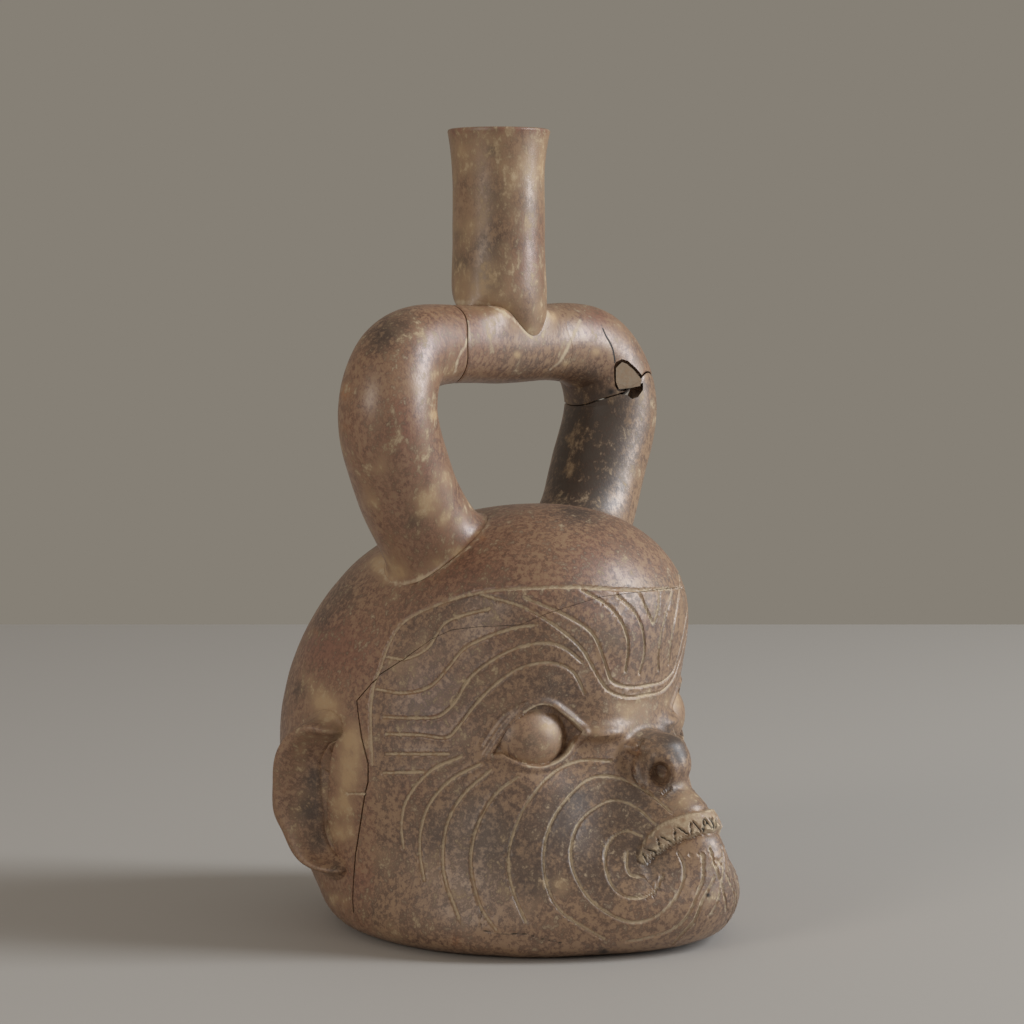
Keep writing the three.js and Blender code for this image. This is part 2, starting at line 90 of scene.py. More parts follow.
class VesselSizes(bpy.types.PropertyGroup):
    """Walls, incised lines and cracks of the vessel"""
    head_wall: length("Head Wall", "Thickness of the chamber's wall", 5)
    stirrup_wall: length("Stirrup Wall", "Thickness of the tubes of the stirrup", 4.5)
    spout_wall: length("Spout Wall", "Thickness of the spout's wall", 4)
    line_width: length("Line Width", "Width of an incised line", 1.15)
    line_depth: length("Line Depth", "Depth of an incised line", 0.5)
    crack_width: length("Crack Width", "Gap that shows at a mended break", 0.5)
    unevenness: length("Unevenness", "How far the hand-made skin strays from smooth", 0.3)


class VesselColours(bpy.types.PropertyGroup):
    """Colours of the fired clay, of what lies on it, and of the painted shade, rim glow and highlights laid
    with some of them
    """
    clay: colour("Clay", "Burnished tan clay", "98795d")
    slip: colour("Slip", "Red-brown slip brushed on crown and stirrup", "885d49")
    # Soot: fire clouds on the clay, and also painted shade in the ear's hollow, on the underside of the
    # stirrup's bar and in the gap under the left elbow
    soot_and_shade: colour("Soot", "Clouds left by the firing", "3a312b")
    fleck: colour("Fleck", "Red-brown grains in the clay", "523727")
    # Ochre: orange clay, and also a painted rim glow of warm bounced light along the outer edge of the right
    # leg
    ochre_and_rim_glow: colour("Ochre", "Orange clay where the firing was hot", "a5714a")
    # Buff is laid by the wear paint, which also paints pale highlights on the right eyeball, the chin and
    # the lit side of the right leg
    buff: colour("Buff", "Bare clay where the slip has worn off", "ba9b74")
    deposit: colour("Deposit", "Pale earth left in the incised lines", "beaa8e")
    # Crack: dirt in the real cracks, and also painted shade in the cut teeth and painted shadow in the gap
    # under the left elbow
    crack_dirt_and_shade: colour("Crack", "Dirt in the cracks", "1f1a17")
    filler: colour("Filler", "Grey filler of the mended chip", "9a8e7d")
    floor: colour("Floor", "Pale floor", "b4aea8")
    backdrop: colour("Backdrop", "Tone seen behind the floor", "868076")


# Camera of the photograph. Its pixels run right and down from the top left corner.

PHOTO_SIZE = 1024
PHOTO_SCALE = 3.54
CAMERA_DISTANCE = 850
CAMERA_HEIGHT = 175.7
EYE_ROW = 300
AXIS_COLUMN = 498.7
VIEW_TURN = math.radians(40)
SENSOR_WIDTH = 36

FOCAL_PIXELS = PHOTO_SCALE * CAMERA_DISTANCE
VIEW_PITCH = math.atan((PHOTO_SIZE / 2 - EYE_ROW) / FOCAL_PIXELS)
VIEW_RIGHT = np.array((math.sin(VIEW_TURN), -math.cos(VIEW_TURN), 0))
VIEW_BACK = np.array((-math.cos(VIEW_TURN), -math.sin(VIEW_TURN), 0))
VIEW_AHEAD = -VIEW_BACK * math.cos(VIEW_PITCH) - np.array((0, 0, math.sin(VIEW_PITCH)))
VIEW_UP = np.cross(VIEW_RIGHT, VIEW_AHEAD)
CAMERA_SHIFT = (PHOTO_SIZE / 2 - AXIS_COLUMN) / PHOTO_SCALE
CAMERA_PLACE = VIEW_BACK * CAMERA_DISTANCE + VIEW_RIGHT * CAMERA_SHIFT + np.array((0, 0, CAMERA_HEIGHT))


def pixels_of(points):
    """Photograph pixels of points."""
    sight = points - CAMERA_PLACE
    depth = sight @ VIEW_AHEAD
    across = PHOTO_SIZE / 2 + FOCAL_PIXELS * (sight @ VIEW_RIGHT) / depth
    down = PHOTO_SIZE / 2 - FOCAL_PIXELS * (sight @ VIEW_UP) / depth
    return np.stack((across, down), axis=1)


def rays_of(pixels):
    """Directions from the camera through photograph pixels."""
    pixels = np.asarray(pixels, float)
    across = (pixels[:, :1] - PHOTO_SIZE / 2) / FOCAL_PIXELS
    down = (pixels[:, 1:] - PHOTO_SIZE / 2) / FOCAL_PIXELS
    return unit(VIEW_AHEAD + across * VIEW_RIGHT - down * VIEW_UP)


# Lumps of clay. forward is towards the face, up is from the table, side is out from the middle, and blend
# is how far a lump melts into the ones before it.

class Lump(NamedTuple):
    forward: float
    up: float
    half_width: float
    half_length: float
    half_height: float
    blend: float = 0
    side: float = 0


CRANIUM = Lump(forward=-7, up=49, half_width=54, half_length=60, half_height=66)
FOREHEAD = Lump(forward=21.5, up=89.5, half_width=40, half_length=33.5, half_height=28.5, blend=16)
JAW = Lump(forward=13.5, up=8, half_width=54.5, half_length=52, half_height=24, blend=18)
MUZZLE = Lump(forward=31, up=14, half_width=35, half_length=46.5, half_height=19.5, blend=14)
UPPER_LIP = Lump(forward=43, up=27, half_width=16, half_length=34, half_height=22.5, blend=10)
BROW = Lump(forward=18, up=74.5, half_width=37, half_length=24, half_height=12.5, blend=10)
CHEEK = Lump(side=20.5, forward=26.5, up=27, half_width=21, half_length=19, half_height=22.5, blend=12)
EYE_HOLLOW = Lump(side=33, forward=53, up=58, half_width=15, half_length=11, half_height=11, blend=8)
HEAD_LUMPS = (FOREHEAD, JAW, MUZZLE, UPPER_LIP, BROW, CHEEK)
NOSE_ROOF = Lump(forward=53.5, up=54.8, half_width=9.6, half_length=9.8, half_height=3, blend=2.6)
NOSE_ROOT = Lump(side=12, forward=46.5, up=59, half_width=8, half_length=6, half_height=2.2, blend=2.8)
NOSE_BALL = Lump(forward=57.6, up=50, half_width=7.2, half_length=8.6, half_height=7.4, blend=3.5)
NOSE_LUMPS = (NOSE_ROOF, NOSE_ROOT, NOSE_BALL)
BASE_EDGE_SOFTNESS = 6
HEAD_MIDDLE = np.array((0, 0, CRANIUM.up))
HEAD_REACH = 130
FAR = 150
MIRROR = (-1, 1, 1)
SKIN_STRIDE = 2
SKIN_HALVINGS = 14
SLOPE_STEP = 0.2
SIGHT_STEPS = 120
SIGHT_STRIDE = 0.7
SIGHT_MISS = 0.5


def lump_distance(points, lump):
    """Distance from points to a lump, near enough, below zero inside."""
    scaled = np.stack((
        (np.abs(points[:, 0]) - lump.side) / lump.half_width,
        (-points[:, 1] - lump.forward) / lump.half_length,
        (points[:, 2] - lump.up) / lump.half_height), axis=1)
    reach = np.linalg.norm(scaled, axis=1)
    slope = np.linalg.norm(scaled / (lump.half_width, lump.half_length, lump.half_height), axis=1)
    return reach * (reach - 1) / np.maximum(slope, 1e-9)


def melt(a, b, blend):
    share = np.clip((1 + (b - a) / blend) / 2, 0, 1)
    return b * (1 - share) + a * share - blend * share * (1 - share)


def carve(a, b, blend):
    return -melt(-a, -b, blend)


def head_distance(points):
    """Distance from the smooth skin of the head, without the nose."""
    skin = lump_distance(points, CRANIUM)
    for lump in HEAD_LUMPS:
        skin = melt(skin, lump_distance(points, lump), lump.blend)
    skin = carve(skin, -lump_distance(points, EYE_HOLLOW), EYE_HOLLOW.blend)
    return carve(skin, -points[:, 2], BASE_EDGE_SOFTNESS)


def face_distance(points):
    """Distance from the skin of the head with its nose."""
    skin = head_distance(points)
    for lump in NOSE_LUMPS:
        skin = melt(skin, lump_distance(points, lump), lump.blend)
    return skin


def skin_normals(points, distance):
    """Directions straight out of the skin at points."""
    steps = SLOPE_STEP * np.eye(3)
    return unit(np.stack([distance(points + step) - distance(points - step) for step in steps], axis=1))


def halve(inside, outside, in_clay, times):
    """Reaches just inside and just outside the clay, found between two that are further apart."""
    for _ in range(times):
        middle = (inside + outside) / 2
        within = in_clay(middle)
        inside = np.where(within, middle, inside)
        outside = np.where(within, outside, middle)
    return inside, outside


def cast_out(start, directions, distance, offset=0):
    """Last points of rays from inside that are in the clay, with its skin grown by offset."""
    directions = unit(directions)
    start = np.broadcast_to(start, directions.shape)
    outside = np.full(len(directions), float(HEAD_REACH))
    unsettled = np.ones(len(directions), bool)
    while unsettled.any():
        nearer = outside[unsettled] - SKIN_STRIDE
        inside = distance(start[unsettled] + directions[unsettled] * nearer[:, None]) < offset
        settled = inside | (nearer <= 0)
        places = np.flatnonzero(unsettled)
        outside[places[~settled]] = nearer[~settled]
        unsettled[places[settled]] = False

    def in_clay(reach):
        return distance(start + directions * reach[:, None]) < offset

    inside, _ = halve(outside - SKIN_STRIDE, outside, in_clay, SKIN_HALVINGS)
    return start + directions * inside[:, None]


def cast_in(pixels, distance):
    """Points of the clay that the camera sees at photograph pixels, without those that miss it."""
    directions = rays_of(pixels)
    reach = np.full(len(directions), float(CAMERA_DISTANCE - HEAD_REACH))
    for _ in range(SIGHT_STEPS):
        reach += SIGHT_STRIDE * distance(CAMERA_PLACE + directions * reach[:, None])
    points = CAMERA_PLACE + directions * reach[:, None]
    return points[np.abs(distance(points)) < SIGHT_MISS]


# Lines traced on the photograph, in its pixels, on the side of the face that it shows

WHORL = (
    ((461, 757), (432, 770), (407, 799), (401, 824), (403, 848)),
    ((480, 764), (451, 780), (429, 805), (420, 834), (420, 856), (424, 880)),
    ((491, 770), (464, 794), (448, 821), (443, 850), (445, 879), (459, 918)),
    ((518, 777), (496, 794), (478, 824), (471, 856), (473, 882), (482, 910), (496, 930)),
    ((611, 761), (579, 761), (553, 773), (528, 802), (513, 834), (508, 863), (513, 891), (526, 922)),
    ((671, 812), (643, 789), (614, 777), (592, 778), (569, 796), (552, 821), (544, 850), (547, 885),
     (560, 910), (604, 939)),
    ((654, 823), (636, 807), (614, 800), (595, 808), (579, 823), (571, 847), (574, 872), (592, 901),
     (630, 922), (659, 915), (681, 888), (684, 866), (679, 853)),
    ((641, 836), (627, 831), (614, 836), (606, 850), (606, 869), (614, 888), (631, 898), (652, 893),
     (663, 875)),
    ((627, 851), (627, 867), (631, 875), (643, 877)),
    ((703, 854), (703, 877), (698, 892), (688, 915), (672, 930), (640, 940), (627, 942)),
    ((714, 878), (709, 888), (702, 901), (695, 919), (680, 936), (672, 945)),
)
CHIN_LINES = (
    ((711, 849), (717, 871), (723, 890), (726, 911)),
    ((722, 859), (717, 869)),
    ((726, 835), (726, 851)),
)
HAIRLINE = (
    ((372, 764), (370, 719), (373, 687), (380, 668), (388, 646), (403, 623), (439, 604), (483, 592),
     (531, 588), (579, 587)),
)
HAIRLINE_FRONT = (((579, 587), (627, 590), (640, 590), (662, 589), (676, 588), (684, 587)),)
BROW_LINES = (
    ((483, 595), (525, 608), (557, 627), (582, 649), (595, 671), (608, 690), (627, 697), (652, 694)),
    ((525, 598), (563, 614), (592, 633), (604, 659), (612, 681), (630, 687), (655, 684)),
    ((582, 590), (611, 608), (625, 630), (628, 649), (625, 671)),
    ((617, 595), (636, 614), (644, 636), (644, 655), (639, 673)),
    ((639, 592), (653, 623)),
)
TEMPLE_WAVES = (
    ((388, 657), (403, 659), (426, 649), (445, 623), (464, 615), (489, 609)),
    ((376, 689), (403, 693), (429, 687), (448, 668), (464, 649), (490, 636), (515, 628), (537, 625)),
    ((383, 717), (413, 718), (439, 716), (454, 703), (470, 678), (490, 662), (515, 649), (547, 643),
     (566, 649), (582, 662)),
    ((386, 734), (419, 735), (448, 737), (458, 727), (477, 703), (496, 684), (521, 668), (550, 663),
     (572, 671), (585, 694)),
    ((386, 754), (448, 754)),
    ((383, 773), (423, 772)),
    ((328, 794), (365, 794)),
)
INCISED_LINES = WHORL + CHIN_LINES + HAIRLINE + BROW_LINES + TEMPLE_WAVES
NOSE_CREASE = (((643, 739), (635, 754), (633, 770), (638, 783), (649, 793), (661, 795), (671, 788)),)
TOOTH_STROKES = (
    ((642, 853), (647, 862)), ((645, 849), (656, 853)), ((658, 838), (660, 849)), ((661, 837), (672, 843)),
    ((675, 829), (675, 840)), ((678, 828), (688, 835)), ((690, 824), (691, 835)), ((693, 823), (700, 831)),
    ((702, 821), (703, 831)), ((704, 821), (711, 829)), ((710, 820), (713, 829)), ((713, 821), (719, 827)),
)
SMALL_CRACKS = (
    ((481, 912), (482, 929), (490, 932), (504, 934), (525, 934), (543, 939), (561, 943)),
    ((732, 885), (729, 903), (727, 915), (720, 931)),
)
LID_CREASE = (((481, 745), (490, 731), (502, 716), (514, 708), (525, 703)),)
EAR_HOLLOW = ((338, 736), (333, 750), (330, 764), (329, 782), (327, 805), (329, 828), (334, 848), (342, 868),
              (300, 866), (280, 840), (268, 806), (272, 769), (287, 742), (311, 733))
EAR_HOLLOW_DEPTH = 4.2
EAR_FRONT = 20
UPPER_LID = ((489, 756), (499, 741), (510, 725), (524, 712), (539, 704), (551, 705), (562, 712), (573, 721),
             (584, 732))
LOWER_LID = ((573, 744), (566, 754), (554, 763), (542, 767), (527, 766), (513, 761), (502, 755))
LID_EDGES = (UPPER_LID[3:], LOWER_LID[:5])
EYE_MIDDLE = (537, 738)
EYE_RADIUS = 7.8
EYE_REACH = 17
LIP_TOP = ((641, 859), (641, 850), (648, 837), (663, 824), (679, 817), (695, 813), (711, 811), (740, 812))
LIP_BOTTOM = ((740, 829), (724, 829), (705, 832), (687, 837), (669, 845), (653, 855), (645, 863))
MAIN_CRACK = ((640, 592), (601, 597), (575, 605), (549, 613), (520, 625), (478, 627), (452, 630), (432, 639),
              (403, 660), (380, 675), (357, 701), (362, 737), (369, 763), (369, 782), (364, 805), (359, 834),
              (356, 854), (354, 887))

# The face is nearer to the camera than the vessel's axis, so the photograph shows it a little larger
FACE_SCALE = PHOTO_SCALE * 1.04

# Steps along traced lines, outlines and seams, in pixels
LINE_STEP = 1.5
OUTLINE_STEP = 2
SEAM_STEP = 1
HAIRLINE_STEP = 4


def smooth_line(corners, step):
    """Points about step apart on a curve through corners."""
    corners = np.asarray(corners, float)
    padded = np.vstack((2 * corners[0] - corners[1], corners, 2 * corners[-1] - corners[-2]))
    line = []
    for a, b, c, d in zip(padded, padded[1:], padded[2:], padded[3:]):
        ab, bc, cd = (math.sqrt(np.linalg.norm(side)) for side in (b - a, c - b, d - c))
        leaving = ((b - a) / ab - (c - a) / (ab + bc) + (c - b) / bc) * bc
        arriving = ((c - b) / bc - (d - b) / (bc + cd) + (d - c) / cd) * bc
        count = max(2, math.ceil(np.linalg.norm(c - b) / step))
        t = (np.arange(count) / count)[:, None]
        line.append(b + t * leaving + t ** 2 * (3 * (c - b) - 2 * leaving - arriving)
                    + t ** 3 * (2 * (b - c) + leaving + arriving))
    return np.vstack(line + [corners[-1:]])


def length_along(line):
    """Length of a line up to each of its points."""
    return np.concatenate(((0,), np.cumsum(np.linalg.norm(np.diff(line, axis=0), axis=1))))


def read_between(at, marks, rows):
    """Rows at any place along the marks where the given rows stand."""
    return np.stack([np.interp(at, marks, column) for column in rows.T], axis=-1)


def seen_on_face(lines):
    """Points on the skin, close together, under traced lines."""
    return cast_in(np.vstack([smooth_line(line, LINE_STEP) for line in lines]), face_distance)


def lines_on_face(lines):
    """Points on the skin under traced lines and their mirror image."""
    seen = seen_on_face(lines)
    return np.vstack((seen, seen * MIRROR))


def incised_on_face():
    return np.vstack((lines_on_face(INCISED_LINES), seen_on_face(HAIRLINE_FRONT)))


def distance_to(points, line_points):
    """Distance from each point to the nearest of the line's points."""
    tree = KDTree(len(line_points))
    for index, place in enumerate(line_points):
        tree.insert(place, index)
    tree.balance()
    return np.array([tree.find(point)[2] for point in points])


def ramp(value, low, high):
    """Smooth rise from 0 at low to 1 at high."""
    share = np.clip((value - low) / (high - low), 0, 1)
    return share * share * (3 - 2 * share)


def fade(value, low, high):
    """Smooth fall from 1 at low to 0 at high."""
    return 1 - ramp(value, low, high)


def hump(value, place, width):
    """1 at a place, falling off over a width on both sides of it."""
    return np.exp(-((value - place) / width) ** 2)


# Unevenness of a skin shaped by hand: sizes of its swells and ripples, and how much of each there is

SWELL_SIZE = 17
RIPPLE_SIZE = 5
RIPPLE_SHARE = 0.25
TUBE_SWAY_SIZE = 19
TUBE_SWAY_SHARE = 0.9
TUBE_RIPPLE_SIZE = 6
TUBE_RIPPLE_SHARE = 0.2


def roughness_of_hand(points, sizes):
    """Small swells and hollows over the skin of the head."""
    swell = np.array([noise.noise(Vector(point) / SWELL_SIZE) for point in points])
    ripple = np.array([noise.noise(Vector(point) / RIPPLE_SIZE) for point in points])
    return sizes.unevenness / MM * (swell + RIPPLE_SHARE * ripple)


def sway_of_hand(points, size):
    """Sideways strays at points, which change over about size millimetres."""
    return np.array([noise.noise_vector(Vector(point) / size) for point in points])


def handled(points, sizes):
    """Points moved a little, as a hand-rolled tube strays from round."""
    flat = points.reshape(-1, 3)
    stray = (TUBE_SWAY_SHARE * sway_of_hand(flat, TUBE_SWAY_SIZE)
             + TUBE_RIPPLE_SHARE * sway_of_hand(flat, TUBE_RIPPLE_SIZE))
    return (flat + sizes.unevenness / MM * stray).reshape(points.shape)


# Mesh helpers

SMOOTH_ANGLE = math.radians(38)
BALL_SUBDIVISIONS = 4


def points_of(piece):
    flat = np.empty(3 * len(piece.data.vertices))
    piece.data.vertices.foreach_get("co", flat)
    return flat.reshape(-1, 3) / MM


def set_points(piece, points):
    piece.data.vertices.foreach_set("co", (points * MM).ravel())
    piece.data.update()


def deselect():
    for thing in bpy.context.selected_objects:
        thing.select_set(False)


def make_active(piece):
    deselect()
    piece.select_set(True)
    bpy.context.view_layer.objects.active = piece


def new_primitive(name, add, **settings):
    deselect()
    add(**settings)
    piece = bpy.context.object
    piece.name = name
    piece.data.name = name
    return piece


def copy_of(piece, name):
    twin = piece.copy()
    twin.data = piece.data.copy()
    twin.name = name
    twin.data.name = name
    bpy.context.scene.collection.objects.link(twin)
    return twin


def cut(piece, tool, operation):
    """Boolean of a piece with a closed tool, which stays."""
    make_active(piece)
    change = piece.modifiers.new("cut", "BOOLEAN")
    change.object = tool
    change.operation = operation
    change.solver = "MANIFOLD"
    bpy.ops.object.modifier_apply(modifier=change.name)
    if not piece.data.polygons:
        raise RuntimeError(f"{piece.name}: nothing is left after the cut with {tool.name}")


def remove(*things):
    for thing in things:
        bpy.data.meshes.remove(thing.data)


def in_edit_mode(piece, *steps):
    make_active(piece)
    bpy.ops.object.mode_set(mode="EDIT")
    for step in steps:
        step()
    bpy.ops.object.mode_set(mode="OBJECT")


def subdivide_where(piece, test, cuts):
    """Cuts each face, whose middle passes the test, finer."""
    middles = np.empty(3 * len(piece.data.polygons))
    piece.data.polygons.foreach_get("center", middles)
    chosen = test(middles.reshape(-1, 3) / MM)
    bpy.context.tool_settings.mesh_select_mode = (False, False, True)
    for elements in (piece.data.vertices, piece.data.edges):
        elements.foreach_set("select", np.zeros(len(elements), bool))
    piece.data.polygons.foreach_set("select", chosen)
    in_edit_mode(
        piece,
        lambda: bpy.ops.mesh.subdivide(number_cuts=cuts),
        lambda: bpy.ops.mesh.select_all(action="SELECT"),
        lambda: bpy.ops.mesh.quads_convert_to_tris())


def point_faces_out(piece):
    in_edit_mode(
        piece,
        lambda: bpy.ops.mesh.select_all(action="SELECT"),
        lambda: bpy.ops.mesh.normals_make_consistent(inside=False))


def set_attribute(piece, name, values):
    attribute = piece.data.attributes.new(name, "FLOAT", "POINT")
    attribute.data.foreach_set("value", np.asarray(values, np.float32))


def ball(name, place, half_sizes):
    """Closed ball with its own half-sizes at a place."""
    piece = new_primitive(
        name, bpy.ops.mesh.primitive_ico_sphere_add, subdivisions=BALL_SUBDIVISIONS, radius=MM)
    set_points(piece, points_of(piece) * half_sizes + place)
    return piece


def prism(name, outline, half_width):
    """Closed prism across the head, from an outline of (forward, up) corners."""
    corners = [(-half_width * MM, -forward * MM, up * MM) for forward, up in outline]
    mesh = bpy.data.meshes.new(name)
    mesh.from_pydata(corners, [], [range(len(corners))])
    piece = bpy.data.objects.new(name, mesh)
    bpy.context.scene.collection.objects.link(piece)
    across = {"value": (2 * half_width * MM, 0, 0)}
    in_edit_mode(
        piece,
        lambda: bpy.ops.mesh.select_all(action="SELECT"),
        lambda: bpy.ops.mesh.extrude_region_move(TRANSFORM_OT_translate=across))
    point_faces_out(piece)
    return piece


def finish_piece(piece, node, material):
    """Smooth shading, material, and the place of a piece in the vessel."""
    make_active(piece)
    bpy.ops.object.shade_smooth_by_angle(angle=SMOOTH_ANGLE)
    piece.data.materials.clear()
    piece.data.materials.append(material)
    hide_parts(node)
    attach(piece, "root")


def finish_clay(piece, node, clay):
    paint(piece)
    finish_piece(piece, node, clay)


# Head: one sculpted skin

class Zone(NamedTuple):
    """A box about the head: ranges out from its middle on either side, forward and up."""
    side: tuple
    forward: tuple
    up: tuple


ANYWHERE = (-FAR, FAR)
FACE_ZONE = Zone(side=ANYWHERE, forward=(-9, FAR), up=(-FAR, 102))
EAR_ZONE = Zone(side=(35, FAR), forward=(-42, -8), up=(-FAR, 62))
NOSE_ZONE = Zone(side=(-FAR, 14), forward=(49, FAR), up=(40, 64))
TEETH_ZONE = Zone(side=ANYWHERE, forward=(56, FAR), up=(22, 42))
MOUTH_ZONE = Zone(side=ANYWHERE, forward=(50, FAR), up=(-FAR, 45))
LIP_ZONE = Zone(side=ANYWHERE, forward=(55, FAR), up=(-FAR, 45))

HEAD_SUBDIVISIONS = 7
CHAMBER_SUBDIVISIONS = 5
FINE_CUTS = 2
FINE_ROUND_LINES = 1.1
FINE_ROUND_HOLLOW = 2.2

# Slopes are distances from an edge, between which a form falls off. Columns are pixels of the photograph.
LID_COLUMNS = (545, 566)
LID_HEIGHT = 0.7
LID_CORNER_RISE = 0.4
LID_SLOPE = (0.5, 2.1)
EYE_SINK = 0.8
EYE_CORNER_SINK = 1.4
EYE_SINK_SLOPE = (0, 0.8)
EYEBALL_RADIUS = 9.5
EYEBALL_RISE = 2.3
EYEBALL_MARGIN = 0.4
EYEBALL_OUTER_STRETCH = 0.64
EYEBALL_INNER_STRETCH = 0.94
LIP_HEIGHT = 0.8
LIP_SLOPE = (-0.45, 0.25)
LIP_GROOVE_DEPTH = 0.4
LIP_GROOVE_PLACE = 0.7
LIP_GROOVE_WIDTH = 0.55
LIP_STEP = 1
LIP_STEP_SLOPE = (-0.3, 0.4)
LIP_STEP_FADE = 6
MOUTH_COLUMNS = (640, 654)
EAR_HOLLOW_SLOPE = (0, 0.8)

# Shoulder of an incised line, in shares of its depth and of its half width
SHOULDER_HEIGHT = 0.18
SHOULDER_PLACE = 1.35
SHOULDER_WIDTH = 0.5
GROOVE_ROUNDING = 1.5

# Widths and depths of other lines, in shares of an incised line's
LID_CREASE_SHARES = (1.3, 0.6)
TOOTH_SHARES = (0.75, 1.1)
CRACK_SHARES = (0.4, 0.6)

NOSTRIL_TURN = math.radians(58)
NOSTRIL_DIP = 0.1
NOSTRIL_HALF_WIDTH = 2.8
NOSTRIL_HALF_HEIGHT = 3.5
NOSTRIL_DEPTH = 4
NOSTRIL_SLOPE = (0.45, 1.08)
NOSTRIL_PLACE = (0, -58.4, 48.6)
NOSTRIL_START = (1, 4)
NOSTRIL_RIM = 0.5
NOSTRIL_RIM_PLACE = 1.4
NOSTRIL_RIM_WIDTH = 0.35


def in_zone(points, zone):
    places = np.stack((np.abs(points[:, 0]), -points[:, 1], points[:, 2]), axis=1)
    low, high = np.array(zone).T
    return ((places > low) & (places < high)).all(axis=1)


def to_right_side(points):
    """The same points, with those on the left mirrored to the right, which the photograph shows."""
    return np.stack((-np.abs(points[:, 0]), points[:, 1], points[:, 2]), axis=1)


def outline_distance(points, outline):
    """Distance from points to a closed outline in a plane, below zero inside."""
    nearest = np.full(len(points), np.inf)
    inside = np.zeros(len(points), bool)
    for (ax, ay), (bx, by) in zip(outline, np.roll(outline, -1, axis=0)):
        along = np.array((bx - ax, by - ay))
        from_start = points - (ax, ay)
        share = np.clip(from_start @ along / max(along @ along, 1e-9), 0, 1)
        nearest = np.minimum(nearest, np.linalg.norm(from_start - share[:, None] * along, axis=1))
        crosses = (ay > points[:, 1]) != (by > points[:, 1])
        if by != ay:
            inside ^= crosses & (points[:, 0] < ax + (points[:, 1] - ay) * (bx - ax) / (by - ay))
    return np.where(inside, -nearest, nearest)


def traced_gap(pixels, *edges):
    """Millimetres from pixels of the face to an outline traced in edges, below zero inside it."""
    outline = np.vstack([smooth_line(edge, OUTLINE_STEP) for edge in edges])
    return outline_distance(pixels, outline) / FACE_SCALE


def eye_lift(pixels):
    """Height of the lids and the eyeball over the skin, at the pixels of the skin."""
    gap = traced_gap(pixels, UPPER_LID, LOWER_LID)
    inner_corner = ramp(pixels[:, 0], *LID_COLUMNS)
    rim_top = LID_HEIGHT + LID_CORNER_RISE * inner_corner
    rim = rim_top * fade(gap, *LID_SLOPE)
    drop = rim_top + EYE_SINK + EYE_CORNER_SINK * inner_corner
    sink = rim_top - drop * ramp(-gap, *EYE_SINK_SLOPE)
    from_middle = (pixels - EYE_MIDDLE) / FACE_SCALE
    stretch = np.where(from_middle[:, 0] < 0, EYEBALL_OUTER_STRETCH, EYEBALL_INNER_STRETCH)
    from_middle = np.hypot(from_middle[:, 0] * stretch, from_middle[:, 1])
    dome = EYEBALL_RISE - EYEBALL_RADIUS + np.sqrt(np.maximum(EYEBALL_RADIUS ** 2 - from_middle ** 2, 0))
    dome = np.where(from_middle < EYE_RADIUS + EYEBALL_MARGIN, dome, -EYEBALL_RADIUS)
    return np.where(gap > 0, rim, np.maximum(sink, dome))


def mouth_lift(pixels):
    """Height of the lip and of the step under it, at the pixels of the skin."""
    gap = traced_gap(pixels, LIP_TOP, LIP_BOTTOM)
    edge = smooth_line(LIP_BOTTOM[::-1], OUTLINE_STEP)
    below = (pixels[:, 1] - np.interp(pixels[:, 0], edge[:, 0], edge[:, 1])) / FACE_SCALE
    lip = LIP_HEIGHT * fade(gap, *LIP_SLOPE)
    groove = LIP_GROOVE_DEPTH * hump(gap, LIP_GROOVE_PLACE, LIP_GROOVE_WIDTH)
    step = LIP_STEP * ramp(below, *LIP_STEP_SLOPE) * np.exp(-np.maximum(below, 0) / LIP_STEP_FADE)
    return lip - groove - step * ramp(pixels[:, 0], *MOUTH_COLUMNS)


def line_profile(gap, width, depth):
    """Rounded groove with a low shoulder on either side."""
    half = width / 2
    groove = depth * (1 - np.minimum(gap / half, 1) ** 2) ** GROOVE_ROUNDING
    shoulder = SHOULDER_HEIGHT * depth * hump(gap, SHOULDER_PLACE * half, SHOULDER_WIDTH * half)
    return shoulder - groove


def bore_nostrils(points):
    """Presses a nostril into each wing of the nose."""
    mirror = np.ones(points.shape)
    mirror[points[:, 0] > 0] = MIRROR
    axis = unit(np.array((-math.sin(NOSTRIL_TURN), -math.cos(NOSTRIL_TURN), -NOSTRIL_DIP)))
    level = unit(np.cross((0, 0, 1), axis))
    upright = np.cross(axis, level)
    from_wing = points * mirror - NOSTRIL_PLACE
    reach = np.hypot(from_wing @ level / NOSTRIL_HALF_WIDTH, from_wing @ upright / NOSTRIL_HALF_HEIGHT)
    pit = NOSTRIL_DEPTH * fade(reach, *NOSTRIL_SLOPE)
    rim = NOSTRIL_RIM * hump(reach, NOSTRIL_RIM_PLACE, NOSTRIL_RIM_WIDTH)
    push = ramp(from_wing @ axis, *NOSTRIL_START) * (rim - pit)
    return (points * mirror + axis * push[:, None]) * mirror


def hollow_gap(points):
    """Millimetres from points of the skin to the edge of the hollow in the ear, below zero inside it."""
    pixels = pixels_of(to_right_side(points))
    traced = outline_distance(pixels, np.array(EAR_HOLLOW, float)) / FACE_SCALE
    crest = smooth_line([(station.forward, station.up) for station in EAR_STATIONS], EAR_CREST_STEP)
    front = ((EAR_FRONT, crest[-1, 1]), (EAR_FRONT, crest[0, 1]))
    from_side = np.stack((-points[:, 1], points[:, 2]), axis=1)
    return np.maximum(traced, outline_distance(from_side, np.vstack((crest, front))))


